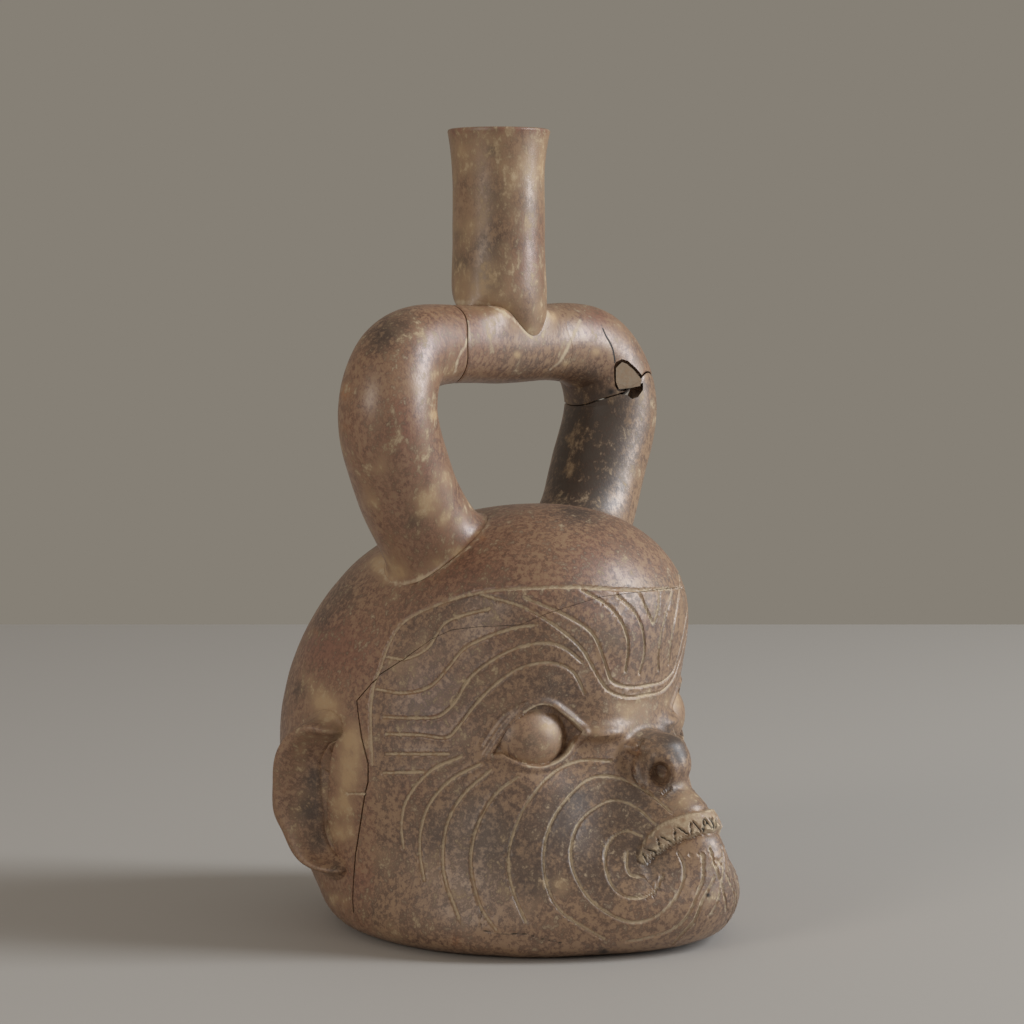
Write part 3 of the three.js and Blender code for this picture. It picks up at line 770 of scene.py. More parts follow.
def sculpt_head(sizes):
    """Closed skin of the head with everything that is carved in it, and the middle of the right eye."""
    skin = new_primitive(
        "head_skin", bpy.ops.mesh.primitive_ico_sphere_add, subdivisions=HEAD_SUBDIVISIONS, radius=MM)
    set_points(skin, cast_out(HEAD_MIDDLE, points_of(skin), face_distance))
    eye = cast_in([EYE_MIDDLE], head_distance)[0]
    incised = incised_on_face()
    cracks = seen_on_face(SMALL_CRACKS)

    def near_eye(points):
        return np.linalg.norm(to_right_side(points) - eye, axis=1) < EYE_REACH

    def detailed(points):
        chosen = near_eye(points) | in_zone(points, NOSE_ZONE) | in_zone(points, TEETH_ZONE)
        face = np.flatnonzero(in_zone(points, FACE_ZONE) & ~chosen)
        chosen[face] = distance_to(points[face], np.vstack((incised, cracks))) < FINE_ROUND_LINES
        sides = np.flatnonzero(in_zone(points, EAR_ZONE))
        chosen[sides] = np.abs(hollow_gap(points[sides])) < FINE_ROUND_HOLLOW
        return chosen

    subdivide_where(skin, detailed, FINE_CUTS)
    set_points(skin, cast_out(HEAD_MIDDLE, points_of(skin) - HEAD_MIDDLE, face_distance))

    points = points_of(skin)
    lift = roughness_of_hand(points, sizes)
    face = np.flatnonzero(in_zone(points, FACE_ZONE))
    on_face = points[face]
    pixels = pixels_of(to_right_side(on_face))
    eyes = near_eye(on_face)
    mouth = in_zone(on_face, MOUTH_ZONE)
    carving = np.zeros(len(face))
    carving[eyes] += eye_lift(pixels[eyes])
    carving[mouth] += mouth_lift(pixels[mouth])
    width, depth = sizes.line_width / MM, sizes.line_depth / MM
    for line, (width_share, depth_share) in (
            (incised, (1, 1)),
            (lines_on_face(NOSE_CREASE), (1, 1)),
            (lines_on_face(LID_CREASE), LID_CREASE_SHARES),
            (lines_on_face(TOOTH_STROKES), TOOTH_SHARES),
            (cracks, CRACK_SHARES)):
        carving += line_profile(distance_to(on_face, line), width_share * width, depth_share * depth)
    lift[face] += carving
    sides = np.flatnonzero(in_zone(points, EAR_ZONE))
    lift[sides] -= EAR_HOLLOW_DEPTH * ramp(-hollow_gap(points[sides]), *EAR_HOLLOW_SLOPE)
    points += skin_normals(points, face_distance) * lift[:, None]
    points[:, 2] = np.maximum(points[:, 2], 0)
    set_points(skin, bore_nostrils(points))
    return skin, eye


# Breaks of the chamber, as (forward, up) seen from the side

FLOOR_SEAM = 8
CROWN_SEAM = 66
CLOSING_HEIGHTS = (62, 84)
CLOSING_SHARES = (1, 0.22)
NOSE_JOIN_MIDDLE = (0, -58, 52)
NOSE_JOIN_HALF_SIZES = (13, 13, 11)


def main_break(gap):
    """Outline of all that lies in front of the long break, moved back by a gap.

    The gap closes towards the forehead."""
    on_skin = cast_in(MAIN_CRACK, head_distance)
    line = np.stack((-on_skin[:, 1], on_skin[:, 2]), axis=1)
    line = np.vstack(((FAR, line[0, 1]), line, (line[-1, 0], -FAR)))
    along = unit(np.gradient(line, axis=0))
    opening = gap * np.interp(line[:, 1], CLOSING_HEIGHTS, CLOSING_SHARES)
    moved = line + opening[:, None] * np.stack((along[:, 1], -along[:, 0]), axis=1)
    return np.vstack((moved, (FAR, -FAR)))


def level_side(name, low, high):
    """All that lies between two heights."""
    return prism(name, ((-FAR, low), (FAR, low), (FAR, high), (-FAR, high)), FAR)


def part_head(skin, eye, sizes):
    """Hollow pieces of the head: floor, face, back, crown, nose and eyes."""
    chamber = new_primitive(
        "chamber", bpy.ops.mesh.primitive_ico_sphere_add, subdivisions=CHAMBER_SUBDIVISIONS,
        radius=CRANIUM.half_width * MM)
    wall = sizes.head_wall / MM
    set_points(chamber, cast_out(HEAD_MIDDLE, points_of(chamber), head_distance, -wall))
    cut(skin, chamber, "DIFFERENCE")

    floor_side = level_side("floor_side", -FAR, FLOOR_SEAM)
    crown_side = level_side("crown_side", CROWN_SEAM, FAR)
    face_side = prism("face_side", main_break(0), FAR)
    back_side = prism("back_side", main_break(sizes.crack_width / MM), FAR)
    nose_side = ball("nose_side", NOSE_JOIN_MIDDLE, NOSE_JOIN_HALF_SIZES)
    eye_sides = [ball("eye_side", eye * (sign, 1, 1), (EYE_RADIUS,) * 3) for sign in (1, -1)]

    pieces = {"floor": copy_of(skin, "chamber_floor")}
    cut(pieces["floor"], floor_side, "INTERSECT")
    cut(skin, floor_side, "DIFFERENCE")
    face = copy_of(skin, "face")
    cut(face, face_side, "INTERSECT")
    cut(skin, back_side, "DIFFERENCE")
    pieces["crown"] = copy_of(skin, "crown")
    cut(pieces["crown"], crown_side, "INTERSECT")
    pieces["back"] = skin
    skin.name = "back_of_head"
    cut(skin, crown_side, "DIFFERENCE")
    for name, side in (("nose", nose_side), ("right_eye", eye_sides[0]), ("left_eye", eye_sides[1])):
        pieces[name] = copy_of(face, name + "_clay")
        cut(pieces[name], side, "INTERSECT")
        cut(face, side, "DIFFERENCE")
    pieces["face"] = face
    remove(chamber, floor_side, crown_side, face_side, back_side, nose_side, *eye_sides)
    return pieces


# Closed rings: a torus whose columns are wrapped on given loops

def ring_piece(name, loops):
    """Closed piece whose columns are loops, an array of around by rows by 3."""
    around, rows, _ = loops.shape
    piece = new_primitive(
        name, bpy.ops.mesh.primitive_torus_add, major_segments=around, minor_segments=rows,
        major_radius=2 * MM, minor_radius=MM)
    if len(piece.data.vertices) != around * rows:
        raise RuntimeError(f"{name}: the torus has too few segments for its loops")
    set_points(piece, loops.reshape(-1, 3))
    point_faces_out(piece)
    return piece


# Stirrup: one arched tube, broken into four

ARCH_HALF_SPAN = 48.5
ELBOW_RISE = 28.5
ELBOW_FORWARD = 2
BAR_RISE = 45.4
SHOULDER_SIDE = 40.5
SHOULDER_DROP = 2.4
LEG_MIDDLE_SIDE = 42
LEG_MIDDLE_RISE = 8
LEG_FOOT_SIDE = 32
LEG_FOOT_FORWARD = 4
LEG_ROOT_DEPTH = 26
LEG_ROOT_SIDE = 19
LEG_DIAMETER = 27.6
BAR_DIAMETER = 21.6
THICKENING = (0.12, 0.5)
ARCH_STEP = 0.3
BORE_STRIDE = 4
RIGHT_BREAK_SIDE = -20.5
LEFT_BREAK_SIDE = 25
ELBOW_BREAK_RISE = 31
WORN_EDGE = 0.2
FAINT_EDGE = 0.04
EDGE_ROUNDING = 4

# Waves of a ring break: how many there are in a turn, how far the seed shifts them, and their share
BREAK_WAVES = ((2, 2.1, 0.6), (5, 1, 0.4))

# Feet of the legs. The right one stands a little off from the left one's mirror image, by shares of a shift
# at the corners of the arch from its root up. Pairs are for the outside and the inside of the arch.
RIGHT_FOOT_SHIFT = np.array((6.1, 5.2, 0))
RIGHT_SHIFT_SHARES = np.array((1, 1, 0.5, 0, 0))
RIGHT_FOOT_REACH = (1, 3.6)
LEFT_FOOT_REACH = (1, 7)
FOOT_RISE = (4, 15)
FOOT_STEP = 0.15
FOOT_ROWS = 14
FOOT_ROOT_DEPTH = 1.5
FOOT_SEARCH = 0.3
FOOT_HALVINGS = 24
SPREAD_INSET = 5


def skin_above(side, forward):
    start = np.array(((side, -forward, HEAD_MIDDLE[2]),))
    return cast_out(start, np.array(((0.0, 0.0, 1.0),)), head_distance)[0, 2]


CROWN_HEIGHT = skin_above(0, 0)
BAR_HEIGHT = CROWN_HEIGHT + BAR_RISE


def arch_line():
    """Middle line of the stirrup, from the right root to the left one, with its shares and its length."""
    foot_height = skin_above(LEG_FOOT_SIDE, LEG_FOOT_FORWARD)
    right = np.array((
        (-LEG_ROOT_SIDE, -LEG_FOOT_FORWARD, foot_height - LEG_ROOT_DEPTH),
        (-LEG_FOOT_SIDE, -LEG_FOOT_FORWARD, foot_height),
        (-LEG_MIDDLE_SIDE, -LEG_FOOT_FORWARD / 2, CROWN_HEIGHT + LEG_MIDDLE_RISE),
        (-ARCH_HALF_SPAN, -ELBOW_FORWARD, CROWN_HEIGHT + ELBOW_RISE),
        (-SHOULDER_SIDE, -ELBOW_FORWARD / 2, BAR_HEIGHT - SHOULDER_DROP)))
    shift = RIGHT_SHIFT_SHARES[:, None] * RIGHT_FOOT_SHIFT
    corners = np.vstack((right + shift, (0, 0, BAR_HEIGHT), right[::-1] * MIRROR))
    line = smooth_line(corners, ARCH_STEP)
    reach = length_along(line)
    return line, reach / reach[-1], reach[-1]


ARCH_LINE, ARCH_SHARES, ARCH_LENGTH = arch_line()


def on_tube(shares, angles, inset=0):
    """Points of the stirrup's skin, or inset below it.

    Angle 0 is the inside of the arch and 90 degrees its back."""
    step = 0.004
    along = unit(read_between(shares + step, ARCH_SHARES, ARCH_LINE)
                 - read_between(shares - step, ARCH_SHARES, ARCH_LINE))
    across = unit(np.array((0.0, 1.0, 0.0)) - along[..., 1:2] * along)
    outward = np.cross(across, along)
    thickening = ramp(np.abs(2 * shares - 1), *THICKENING)
    radius = (BAR_DIAMETER + (LEG_DIAMETER - BAR_DIAMETER) * thickening) / 2 - inset
    spoke = np.cos(angles)[..., None] * outward + np.sin(angles)[..., None] * across
    return read_between(shares, ARCH_SHARES, ARCH_LINE) + radius[..., None] * spoke


def from_left(shares, angles, inset=0):
    """The same as on_tube, with the shares counted from the left root."""
    return on_tube(1 - shares, angles, inset)


class RingBreak(NamedTuple):
    """A break round the stirrup: its share of the arch, its lean to the front, and how far it wanders."""
    share: float
    lean: float
    wobble: float
    seed: float


def share_where(test):
    return ARCH_SHARES[np.flatnonzero(test)[0]]


ABOVE_ELBOWS = ARCH_LINE[:, 2] > CROWN_HEIGHT + ELBOW_RISE
UNDER_ELBOW_BREAK = ARCH_LINE[:, 2] <= CROWN_HEIGHT + ELBOW_BREAK_RISE
RIGHT_BREAK = RingBreak(
    share_where(ABOVE_ELBOWS & (ARCH_LINE[:, 0] >= RIGHT_BREAK_SIDE)), lean=5.5, wobble=0.9, seed=0.4)
LEFT_BREAK = RingBreak(share_where(ARCH_LINE[:, 0] >= LEFT_BREAK_SIDE), lean=7, wobble=1.5, seed=2)
ELBOW_BREAK = RingBreak(
    share_where((ARCH_SHARES > LEFT_BREAK.share) & UNDER_ELBOW_BREAK), lean=3, wobble=1.5, seed=1)


def break_shares(ring, angles):
    """Share of the arch at each angle of a ring break."""
    wander = sum(np.sin(waves * angles + turn * ring.seed) * share for waves, turn, share in BREAK_WAVES)
    return ring.share + (ring.lean * np.sin(angles) + ring.wobble * wander) / ARCH_LENGTH


def tube_loops(start, end, angles, rows, worn, sizes):
    """Columns of a hollow tube between two breaks, given by their share at each angle, with worn edges."""
    wall = sizes.stirrup_wall / MM
    share = np.linspace(0, 1, rows)
    outer = start[:, None] + (end - start)[:, None] * share
    inset = np.zeros(rows)
    inset[[0, -1]] = worn
    inset[[1, -2]] = np.array(worn) / EDGE_ROUNDING
    around = np.broadcast_to(angles[:, None], outer.shape)
    skin = handled(on_tube(outer, around, np.broadcast_to(inset, outer.shape)), sizes)
    inner = outer[:, ::-BORE_STRIDE]
    bore = on_tube(inner, np.broadcast_to(angles[:, None], inner.shape), wall)
    return np.concatenate((skin, bore), axis=1)


def leg_loops(tube, top, angles, rows, foot_reach, sizes):
    """Columns of a leg from a break at the top down to its foot, which spreads on the crown.

    tube is on_tube for the right leg and from_left for the left one. foot_reach is how far the foot spreads
    on the outside and on the inside of the arch."""
    def buried(shares):
        return head_distance(tube(shares, angles)) < 0

    root_shares = np.zeros(len(angles))
    _, contact = halve(root_shares, root_shares + FOOT_SEARCH, buried, FOOT_HALVINGS)
    touch = tube(contact, angles)
    normal = skin_normals(touch, head_distance)
    facing_in = (1 + np.cos(angles)) / 2
    neck_share = contact + np.interp(facing_in, (0, 1), FOOT_RISE) / ARCH_LENGTH
    spread = touch - tube(contact, angles, SPREAD_INSET)
    spread = unit(spread - (spread * normal).sum(axis=1, keepdims=True) * normal)
    toe = touch + np.interp(facing_in, (0, 1), foot_reach)[:, None] * spread
    toe -= normal * (head_distance(toe) - FOOT_STEP)[:, None]
    share = np.linspace(0, 1, rows)
    outer = top[:, None] + (neck_share - top)[:, None] * share
    inset = np.zeros(rows)
    inset[:2] = WORN_EDGE, WORN_EDGE / EDGE_ROUNDING
    around = np.broadcast_to(angles[:, None], outer.shape)
    skin = tube(outer, around, np.broadcast_to(inset, outer.shape))
    neck = skin[:, -1]
    t = np.linspace(0, 1, FOOT_ROWS)[1:, None]
    fillet = np.stack([(1 - s) ** 2 * neck + 2 * s * (1 - s) * touch + s ** 2 * toe for s in t], axis=1)
    skin = handled(np.concatenate((skin, fillet), axis=1), sizes)
    root = touch - FOOT_ROOT_DEPTH * normal
    inner = top[:, None] + (contact - top)[:, None] * share[::-BORE_STRIDE]
    bore = tube(inner, np.broadcast_to(angles[:, None], inner.shape), sizes.stirrup_wall / MM)
    return np.concatenate((skin, root[:, None], bore), axis=1)


def full_turn(count):
    return np.arange(count) * math.tau / count


# Chip in the left elbow, and seams of the stirrup, traced on the photograph

CHIP_OUTLINE = (
    (614, 366), (616, 362), (622, 359), (628, 361), (636, 368), (641, 374), (645, 380), (643, 388),
    (632, 391), (618, 391), (615, 386), (614, 376))
LEG_CHIP_OUTLINE = (
    (601, 396), (610, 390), (622, 385), (643, 383), (643, 390), (638, 397), (632, 399), (627, 395),
    (617, 394), (609, 397))
PLUG_OUTLINE = (
    (616, 368), (622, 362), (627, 364), (634, 370), (642, 380), (640, 386), (630, 388), (619, 389),
    (616, 382))
CHIP_DEPTH = 3.2
PLUG_SINK = 0.45
PLUG_DEPTH = 3
SADDLE_SEAM = ((454, 302), (479, 303), (495, 308), (509, 316), (519, 325), (527, 333), (532, 337))
SADDLE_RIGHT = ((543, 335), (546, 325), (548, 312))
LEFT_SEAM = ((580, 321), (570, 343), (560, 361), (551, 369))
RIGHT_SEAM = ((467, 321), (468, 334), (465, 346), (459, 357), (455, 372))
FOOT_SEAM = ((381, 570), (388, 580), (400, 584), (420, 579), (440, 569), (460, 555), (480, 536), (490, 520))
PALE_SEAMS = {
    "spout_clay": (SADDLE_SEAM, SADDLE_RIGHT),
    "stirrup_bar_clay": (SADDLE_SEAM, SADDLE_RIGHT, LEFT_SEAM, RIGHT_SEAM),
    "left_elbow_clay": (LEFT_SEAM,),
    "right_arm_clay": (RIGHT_SEAM, FOOT_SEAM),
    "crown": (FOOT_SEAM,),
}
ELBOW_CRACK = ((615, 362), (613, 350), (609, 341), (606, 336), (603, 329))


def on_piece(piece, pixels):
    """Points of a finished piece that the camera sees at photograph pixels."""
    hits = []
    for direction in rays_of(pixels):
        hit, place, _, _ = piece.ray_cast(Vector(CAMERA_PLACE) * MM, Vector(direction))
        if hit:
            hits.append(np.array(place) / MM)
    return np.array(hits)


def slab(name, outline, top, bottom, piece):
    """Closed block over an outline of pixels, from top to bottom below the skin of a piece."""
    sunk = rays_of(outline)
    middle = on_piece(piece, (np.mean(outline, axis=0),))[0]
    reach = (middle - CAMERA_PLACE) @ VIEW_AHEAD / (sunk @ VIEW_AHEAD)
    face = CAMERA_PLACE + sunk * reach[:, None]
    on_skin = [on_piece(piece, (pixel,)) for pixel in outline]
    face = np.array([hit[0] if len(hit) else place for hit, place in zip(on_skin, face)])
    count = len(outline)
    corners = np.vstack((face + sunk * top, face + sunk * bottom))
    sides = [(i, (i + 1) % count, count + (i + 1) % count, count + i) for i in range(count)]
    mesh = bpy.data.meshes.new(name)
    ends = [range(count), range(count, 2 * count)]
    mesh.from_pydata((corners * MM).tolist(), [], ends + sides)
    block = bpy.data.objects.new(name, mesh)
    bpy.context.scene.collection.objects.link(block)
    point_faces_out(block)
    return block


# Spout

SPOUT_HEIGHT = 49.8
SPOUT_FOOT_RADIUS = 14
SPOUT_WAIST_RADIUS = 13
SPOUT_RIM_RADIUS = 14.5
SPOUT_TOP = BAR_HEIGHT + BAR_DIAMETER / 2 + SPOUT_HEIGHT
SPOUT_ROWS = 150

# Where the spout narrows above its foot and flares to its rim, in shares of its height
SPOUT_NARROWING = (0.12, 0.5)
SPOUT_FLARE_START = 0.72
SPOUT_FLARE_POWER = 2.6
SPOUT_LIP_RISE = 0.8
SPOUT_LIP_HALF_WIDTH = 1.1
SPOUT_LIP_TURNS = np.radians((40, 80, 120, 160))
SPOUT_BORE_ROWS = 40
SPOUT_BORE_FOOT = 1.5
SPOUT_BORE_SHARES = (0, 0.05, 0.7, 0.97)
SPOUT_PORT_STEP = 2.5
SPOUT_RIM_WIDTH = 2.6

SADDLE_BULGE = 2.5
SADDLE_SIDE = 9
SADDLE_LENGTH = 7
SADDLE_TURN = math.radians(42)
SADDLE_WIDTH = math.radians(22)
SADDLE_DEPTH = 2
SADDLE_STEP = 0.15
SADDLE_SPREAD = 0.8
SADDLE_SETTLE = 2.4
TONGUE_SIDE = 4
TONGUE_LENGTH = 7.5
TONGUE_TURN = math.radians(78)
TONGUE_SETTLE = 6


def saddle_bulge(side, turn):
    """How far the clay stands out under the foot of the spout, at a turn from the top of the bar."""
    along = (np.abs(side) - SADDLE_SIDE) / SADDLE_LENGTH
    around = (turn - SADDLE_TURN) / SADDLE_WIDTH
    return SADDLE_BULGE * np.exp(-along ** 2 - around ** 2)


def on_saddle(points):
    """Points of the bar with its skin swollen under the foot of the spout."""
    spoke = (points - (0, 0, BAR_HEIGHT)) * (0, 1, 1)
    reach = np.linalg.norm(spoke, axis=1)
    bulge = saddle_bulge(points[:, 0], np.arctan2(np.abs(spoke[:, 1]), spoke[:, 2]))
    return points + spoke * (bulge * (reach > BAR_DIAMETER / 2 - SADDLE_DEPTH) / reach)[:, None]


def spout_loops(angles, sizes):
    """Columns of the spout, from the saddle on the bar up to the rim and down the bore."""
    side = (SPOUT_FOOT_RADIUS + SADDLE_SPREAD) * np.cos(angles)
    tongue = hump(side, TONGUE_SIDE, TONGUE_LENGTH)
    turn = np.abs(np.sin(angles)) * (SADDLE_TURN + (TONGUE_TURN - SADDLE_TURN) * tongue)
    saddle_radius = BAR_DIAMETER / 2 + SADDLE_STEP + saddle_bulge(side, turn)
    foot = np.stack((
        side,
        saddle_radius * np.sin(turn) * np.sign(np.sin(angles)),
        BAR_HEIGHT + saddle_radius * np.cos(turn)), axis=1)
    foot_height = foot[:, 2:]
    top = SPOUT_TOP - SPOUT_LIP_RISE
    spoke = np.stack((np.cos(angles), np.sin(angles)), axis=1)[:, None]

    share = np.linspace(0, 1, SPOUT_ROWS)
    height = foot_height + (top - foot_height) * share
    level = (height - BAR_HEIGHT) / (top - BAR_HEIGHT)
    widening = (SPOUT_FOOT_RADIUS - SPOUT_WAIST_RADIUS) * fade(level, *SPOUT_NARROWING)
    flare = np.clip((level - SPOUT_FLARE_START) / (1 - SPOUT_FLARE_START), 0, 1) ** SPOUT_FLARE_POWER
    radius = SPOUT_WAIST_RADIUS + widening + (SPOUT_RIM_RADIUS - SPOUT_WAIST_RADIUS) * flare
    settle = np.exp(-(height - foot_height) / (SADDLE_SETTLE + TONGUE_SETTLE * tongue[:, None]))
    settle = settle - settle[:, -1:] * share
    wall_place = spoke * radius[..., None]
    place = wall_place + (foot[:, None, :2] - wall_place) * settle[..., None]
    skin = handled(np.concatenate((place, height[..., None]), axis=2), sizes)

    lip = []
    for turn in SPOUT_LIP_TURNS:
        ring = spoke[:, 0] * (SPOUT_RIM_RADIUS - SPOUT_LIP_HALF_WIDTH * (1 - math.cos(turn)))
        ring_height = np.full((len(angles), 1), top + SPOUT_LIP_RISE * math.sin(turn))
        lip.append(np.concatenate((ring, ring_height), axis=1))

    bore_share = np.linspace(SPOUT_BORE_SHARES[-1], 0, SPOUT_BORE_ROWS)
    bore_foot = foot_height + SPOUT_BORE_FOOT
    bore_height = bore_foot + (top - bore_foot) * bore_share
    waist = SPOUT_WAIST_RADIUS - sizes.spout_wall / MM
    bore_radii = (waist - SPOUT_PORT_STEP, waist, waist, SPOUT_RIM_RADIUS - SPOUT_RIM_WIDTH)
    bore_radius = np.interp(bore_share, SPOUT_BORE_SHARES, bore_radii)
    bore = np.concatenate((spoke * bore_radius[None, :, None], bore_height[..., None]), axis=2)
    return np.concatenate((skin, np.stack(lip, axis=1), bore), axis=1)


# Ears: a flap of clay pinched into a cup

class EarStation(NamedTuple):
    """A place along the flap: where it stands on the head, how high it is, and how far its feet reach."""
    forward: float
    up: float
    height: float
    inner_foot: float
    outer_foot: float


EAR_STATIONS = (
    EarStation(forward=-10.5, up=58, height=6.5, inner_foot=5, outer_foot=4.5),
    EarStation(forward=-18.5, up=58.4, height=8.5, inner_foot=9, outer_foot=5),
    EarStation(forward=-27, up=53, height=10, inner_foot=14, outer_foot=5.5),
    EarStation(forward=-31, up=43.5, height=10.4, inner_foot=17.5, outer_foot=6.5),
    EarStation(forward=-31.6, up=34.5, height=10.6, inner_foot=18, outer_foot=7),
    EarStation(forward=-28.5, up=26, height=10, inner_foot=15, outer_foot=6.5),
    EarStation(forward=-21.5, up=20.6, height=8, inner_foot=8, outer_foot=5),
    EarStation(forward=-11.5, up=19.2, height=4, inner_foot=3.5, outer_foot=3.5),
)
# Section across the flap: shares of its feet, inner ones below zero, and of its height
FLAP_SECTION = (
    (-1, -0.38), (-0.88, -0.3), (-0.7, -0.12), (-0.5, 0.14), (-0.3, 0.5), (-0.15, 0.82), (-0.05, 0.96),
    (0.1, 1.0), (0.24, 0.93), (0.42, 0.62), (0.68, 0.25), (1, 0), (0.55, -0.45), (-0.5, -0.52))
FLAP_SECTION_STEP = 0.02
EAR_STATION_STEP = 0.4
EAR_CREST_STEP = 1
EAR_SEGMENTS = 96
EAR_END_BLUNTNESS = 12
EAR_ROOT_DEPTH = 0.6
EAR_SWAY = 0.5
EAR_SWAY_SIZE = 9
EAR_SWAY_HEIGHT = 4
OUT_TO_RIGHT = np.array((-1.0, 0.0, 0.0))


def ear_piece(name, side):
    """Ear on one side of the head, side -1 for the right one."""
    ear = new_primitive(
        name, bpy.ops.mesh.primitive_uv_sphere_add, segments=EAR_SEGMENTS, ring_count=EAR_SEGMENTS,
        radius=MM)
    x, y, z = points_of(ear).T
    share = np.arccos(np.clip(z, -1, 1)) / math.pi
    turn = (np.arctan2(y, x) / math.tau) % 1
    stations = smooth_line(EAR_STATIONS, EAR_STATION_STEP)
    reach = length_along(stations[:, :2])
    reach = reach / reach[-1]
    forward, up, height, inner_foot, outer_foot = read_between(share, reach, stations).T
    ahead = unit(read_between(share, reach, np.gradient(stations[:, :2], axis=0)))
    section = smooth_line(FLAP_SECTION + FLAP_SECTION[:1], FLAP_SECTION_STEP)
    across, proud = read_between(turn, np.linspace(0, 1, len(section)), section).T
    close = np.sqrt(np.clip(1 - np.abs(2 * share - 1) ** EAR_END_BLUNTNESS, 0, 1))
    foot = np.where(across < 0, inner_foot, outer_foot) * across * close
    start = np.stack((
        np.zeros(len(share)), -(forward + ahead[:, 1] * foot), up - ahead[:, 0] * foot), axis=1)
    skin = cast_out(start, np.tile(OUT_TO_RIGHT, (len(share), 1)), head_distance)
    height = height * proud * close
    height = np.where(proud < 0, np.minimum(height, -EAR_ROOT_DEPTH), height)
    points = skin + OUT_TO_RIGHT * height[:, None]
    sway = EAR_SWAY * np.clip(height, 0, EAR_SWAY_HEIGHT) / EAR_SWAY_HEIGHT
    points += sway_of_hand(points, EAR_SWAY_SIZE) * sway[:, None]
    set_points(ear, points * (-side, 1, 1))
    point_faces_out(ear)
    return ear


# Paint: how much slip, soot, fleck, wear, ochre, deposit and crack a place of the skin has. Soot and crack
# also carry painted shade, ochre a painted rim glow and wear painted highlights

class Coat(NamedTuple):
    """Paint of a whole piece."""
    slip: float
    soot_and_shade: float
    wear_and_highlight: float
    fleck: float = 0.15
    ochre_and_rim_glow: float = 0
    deposit: float = 0
    crack_dirt_and_shade: float = 0


FACE_COAT = Coat(slip=0.2, soot_and_shade=0.34, wear_and_highlight=0.02)
CROWN_COAT = Coat(slip=0.4, soot_and_shade=0.15, wear_and_highlight=0.1)
COATS = {
    "right_eye_clay": Coat(slip=0.2, soot_and_shade=0.1, wear_and_highlight=0.3),
    "left_eye_clay": Coat(slip=0.2, soot_and_shade=0.1, wear_and_highlight=0.3),
    "right_ear_clay": Coat(slip=0.3, soot_and_shade=0.15, wear_and_highlight=0.2),
    "left_ear_clay": Coat(slip=0.3, soot_and_shade=0.15, wear_and_highlight=0.2),
    "right_arm_clay": Coat(slip=0.42, soot_and_shade=0.08, wear_and_highlight=0.2),
    "stirrup_bar_clay": Coat(slip=0.35, soot_and_shade=0.1, wear_and_highlight=0.2),
    "left_elbow_clay": Coat(slip=0.35, soot_and_shade=0.1, wear_and_highlight=0.2),
    "left_leg_clay": Coat(slip=0.2, soot_and_shade=0.25, wear_and_highlight=0.12),
    "spout_clay": Coat(slip=0.2, soot_and_shade=0.2, wear_and_highlight=0.38),
}

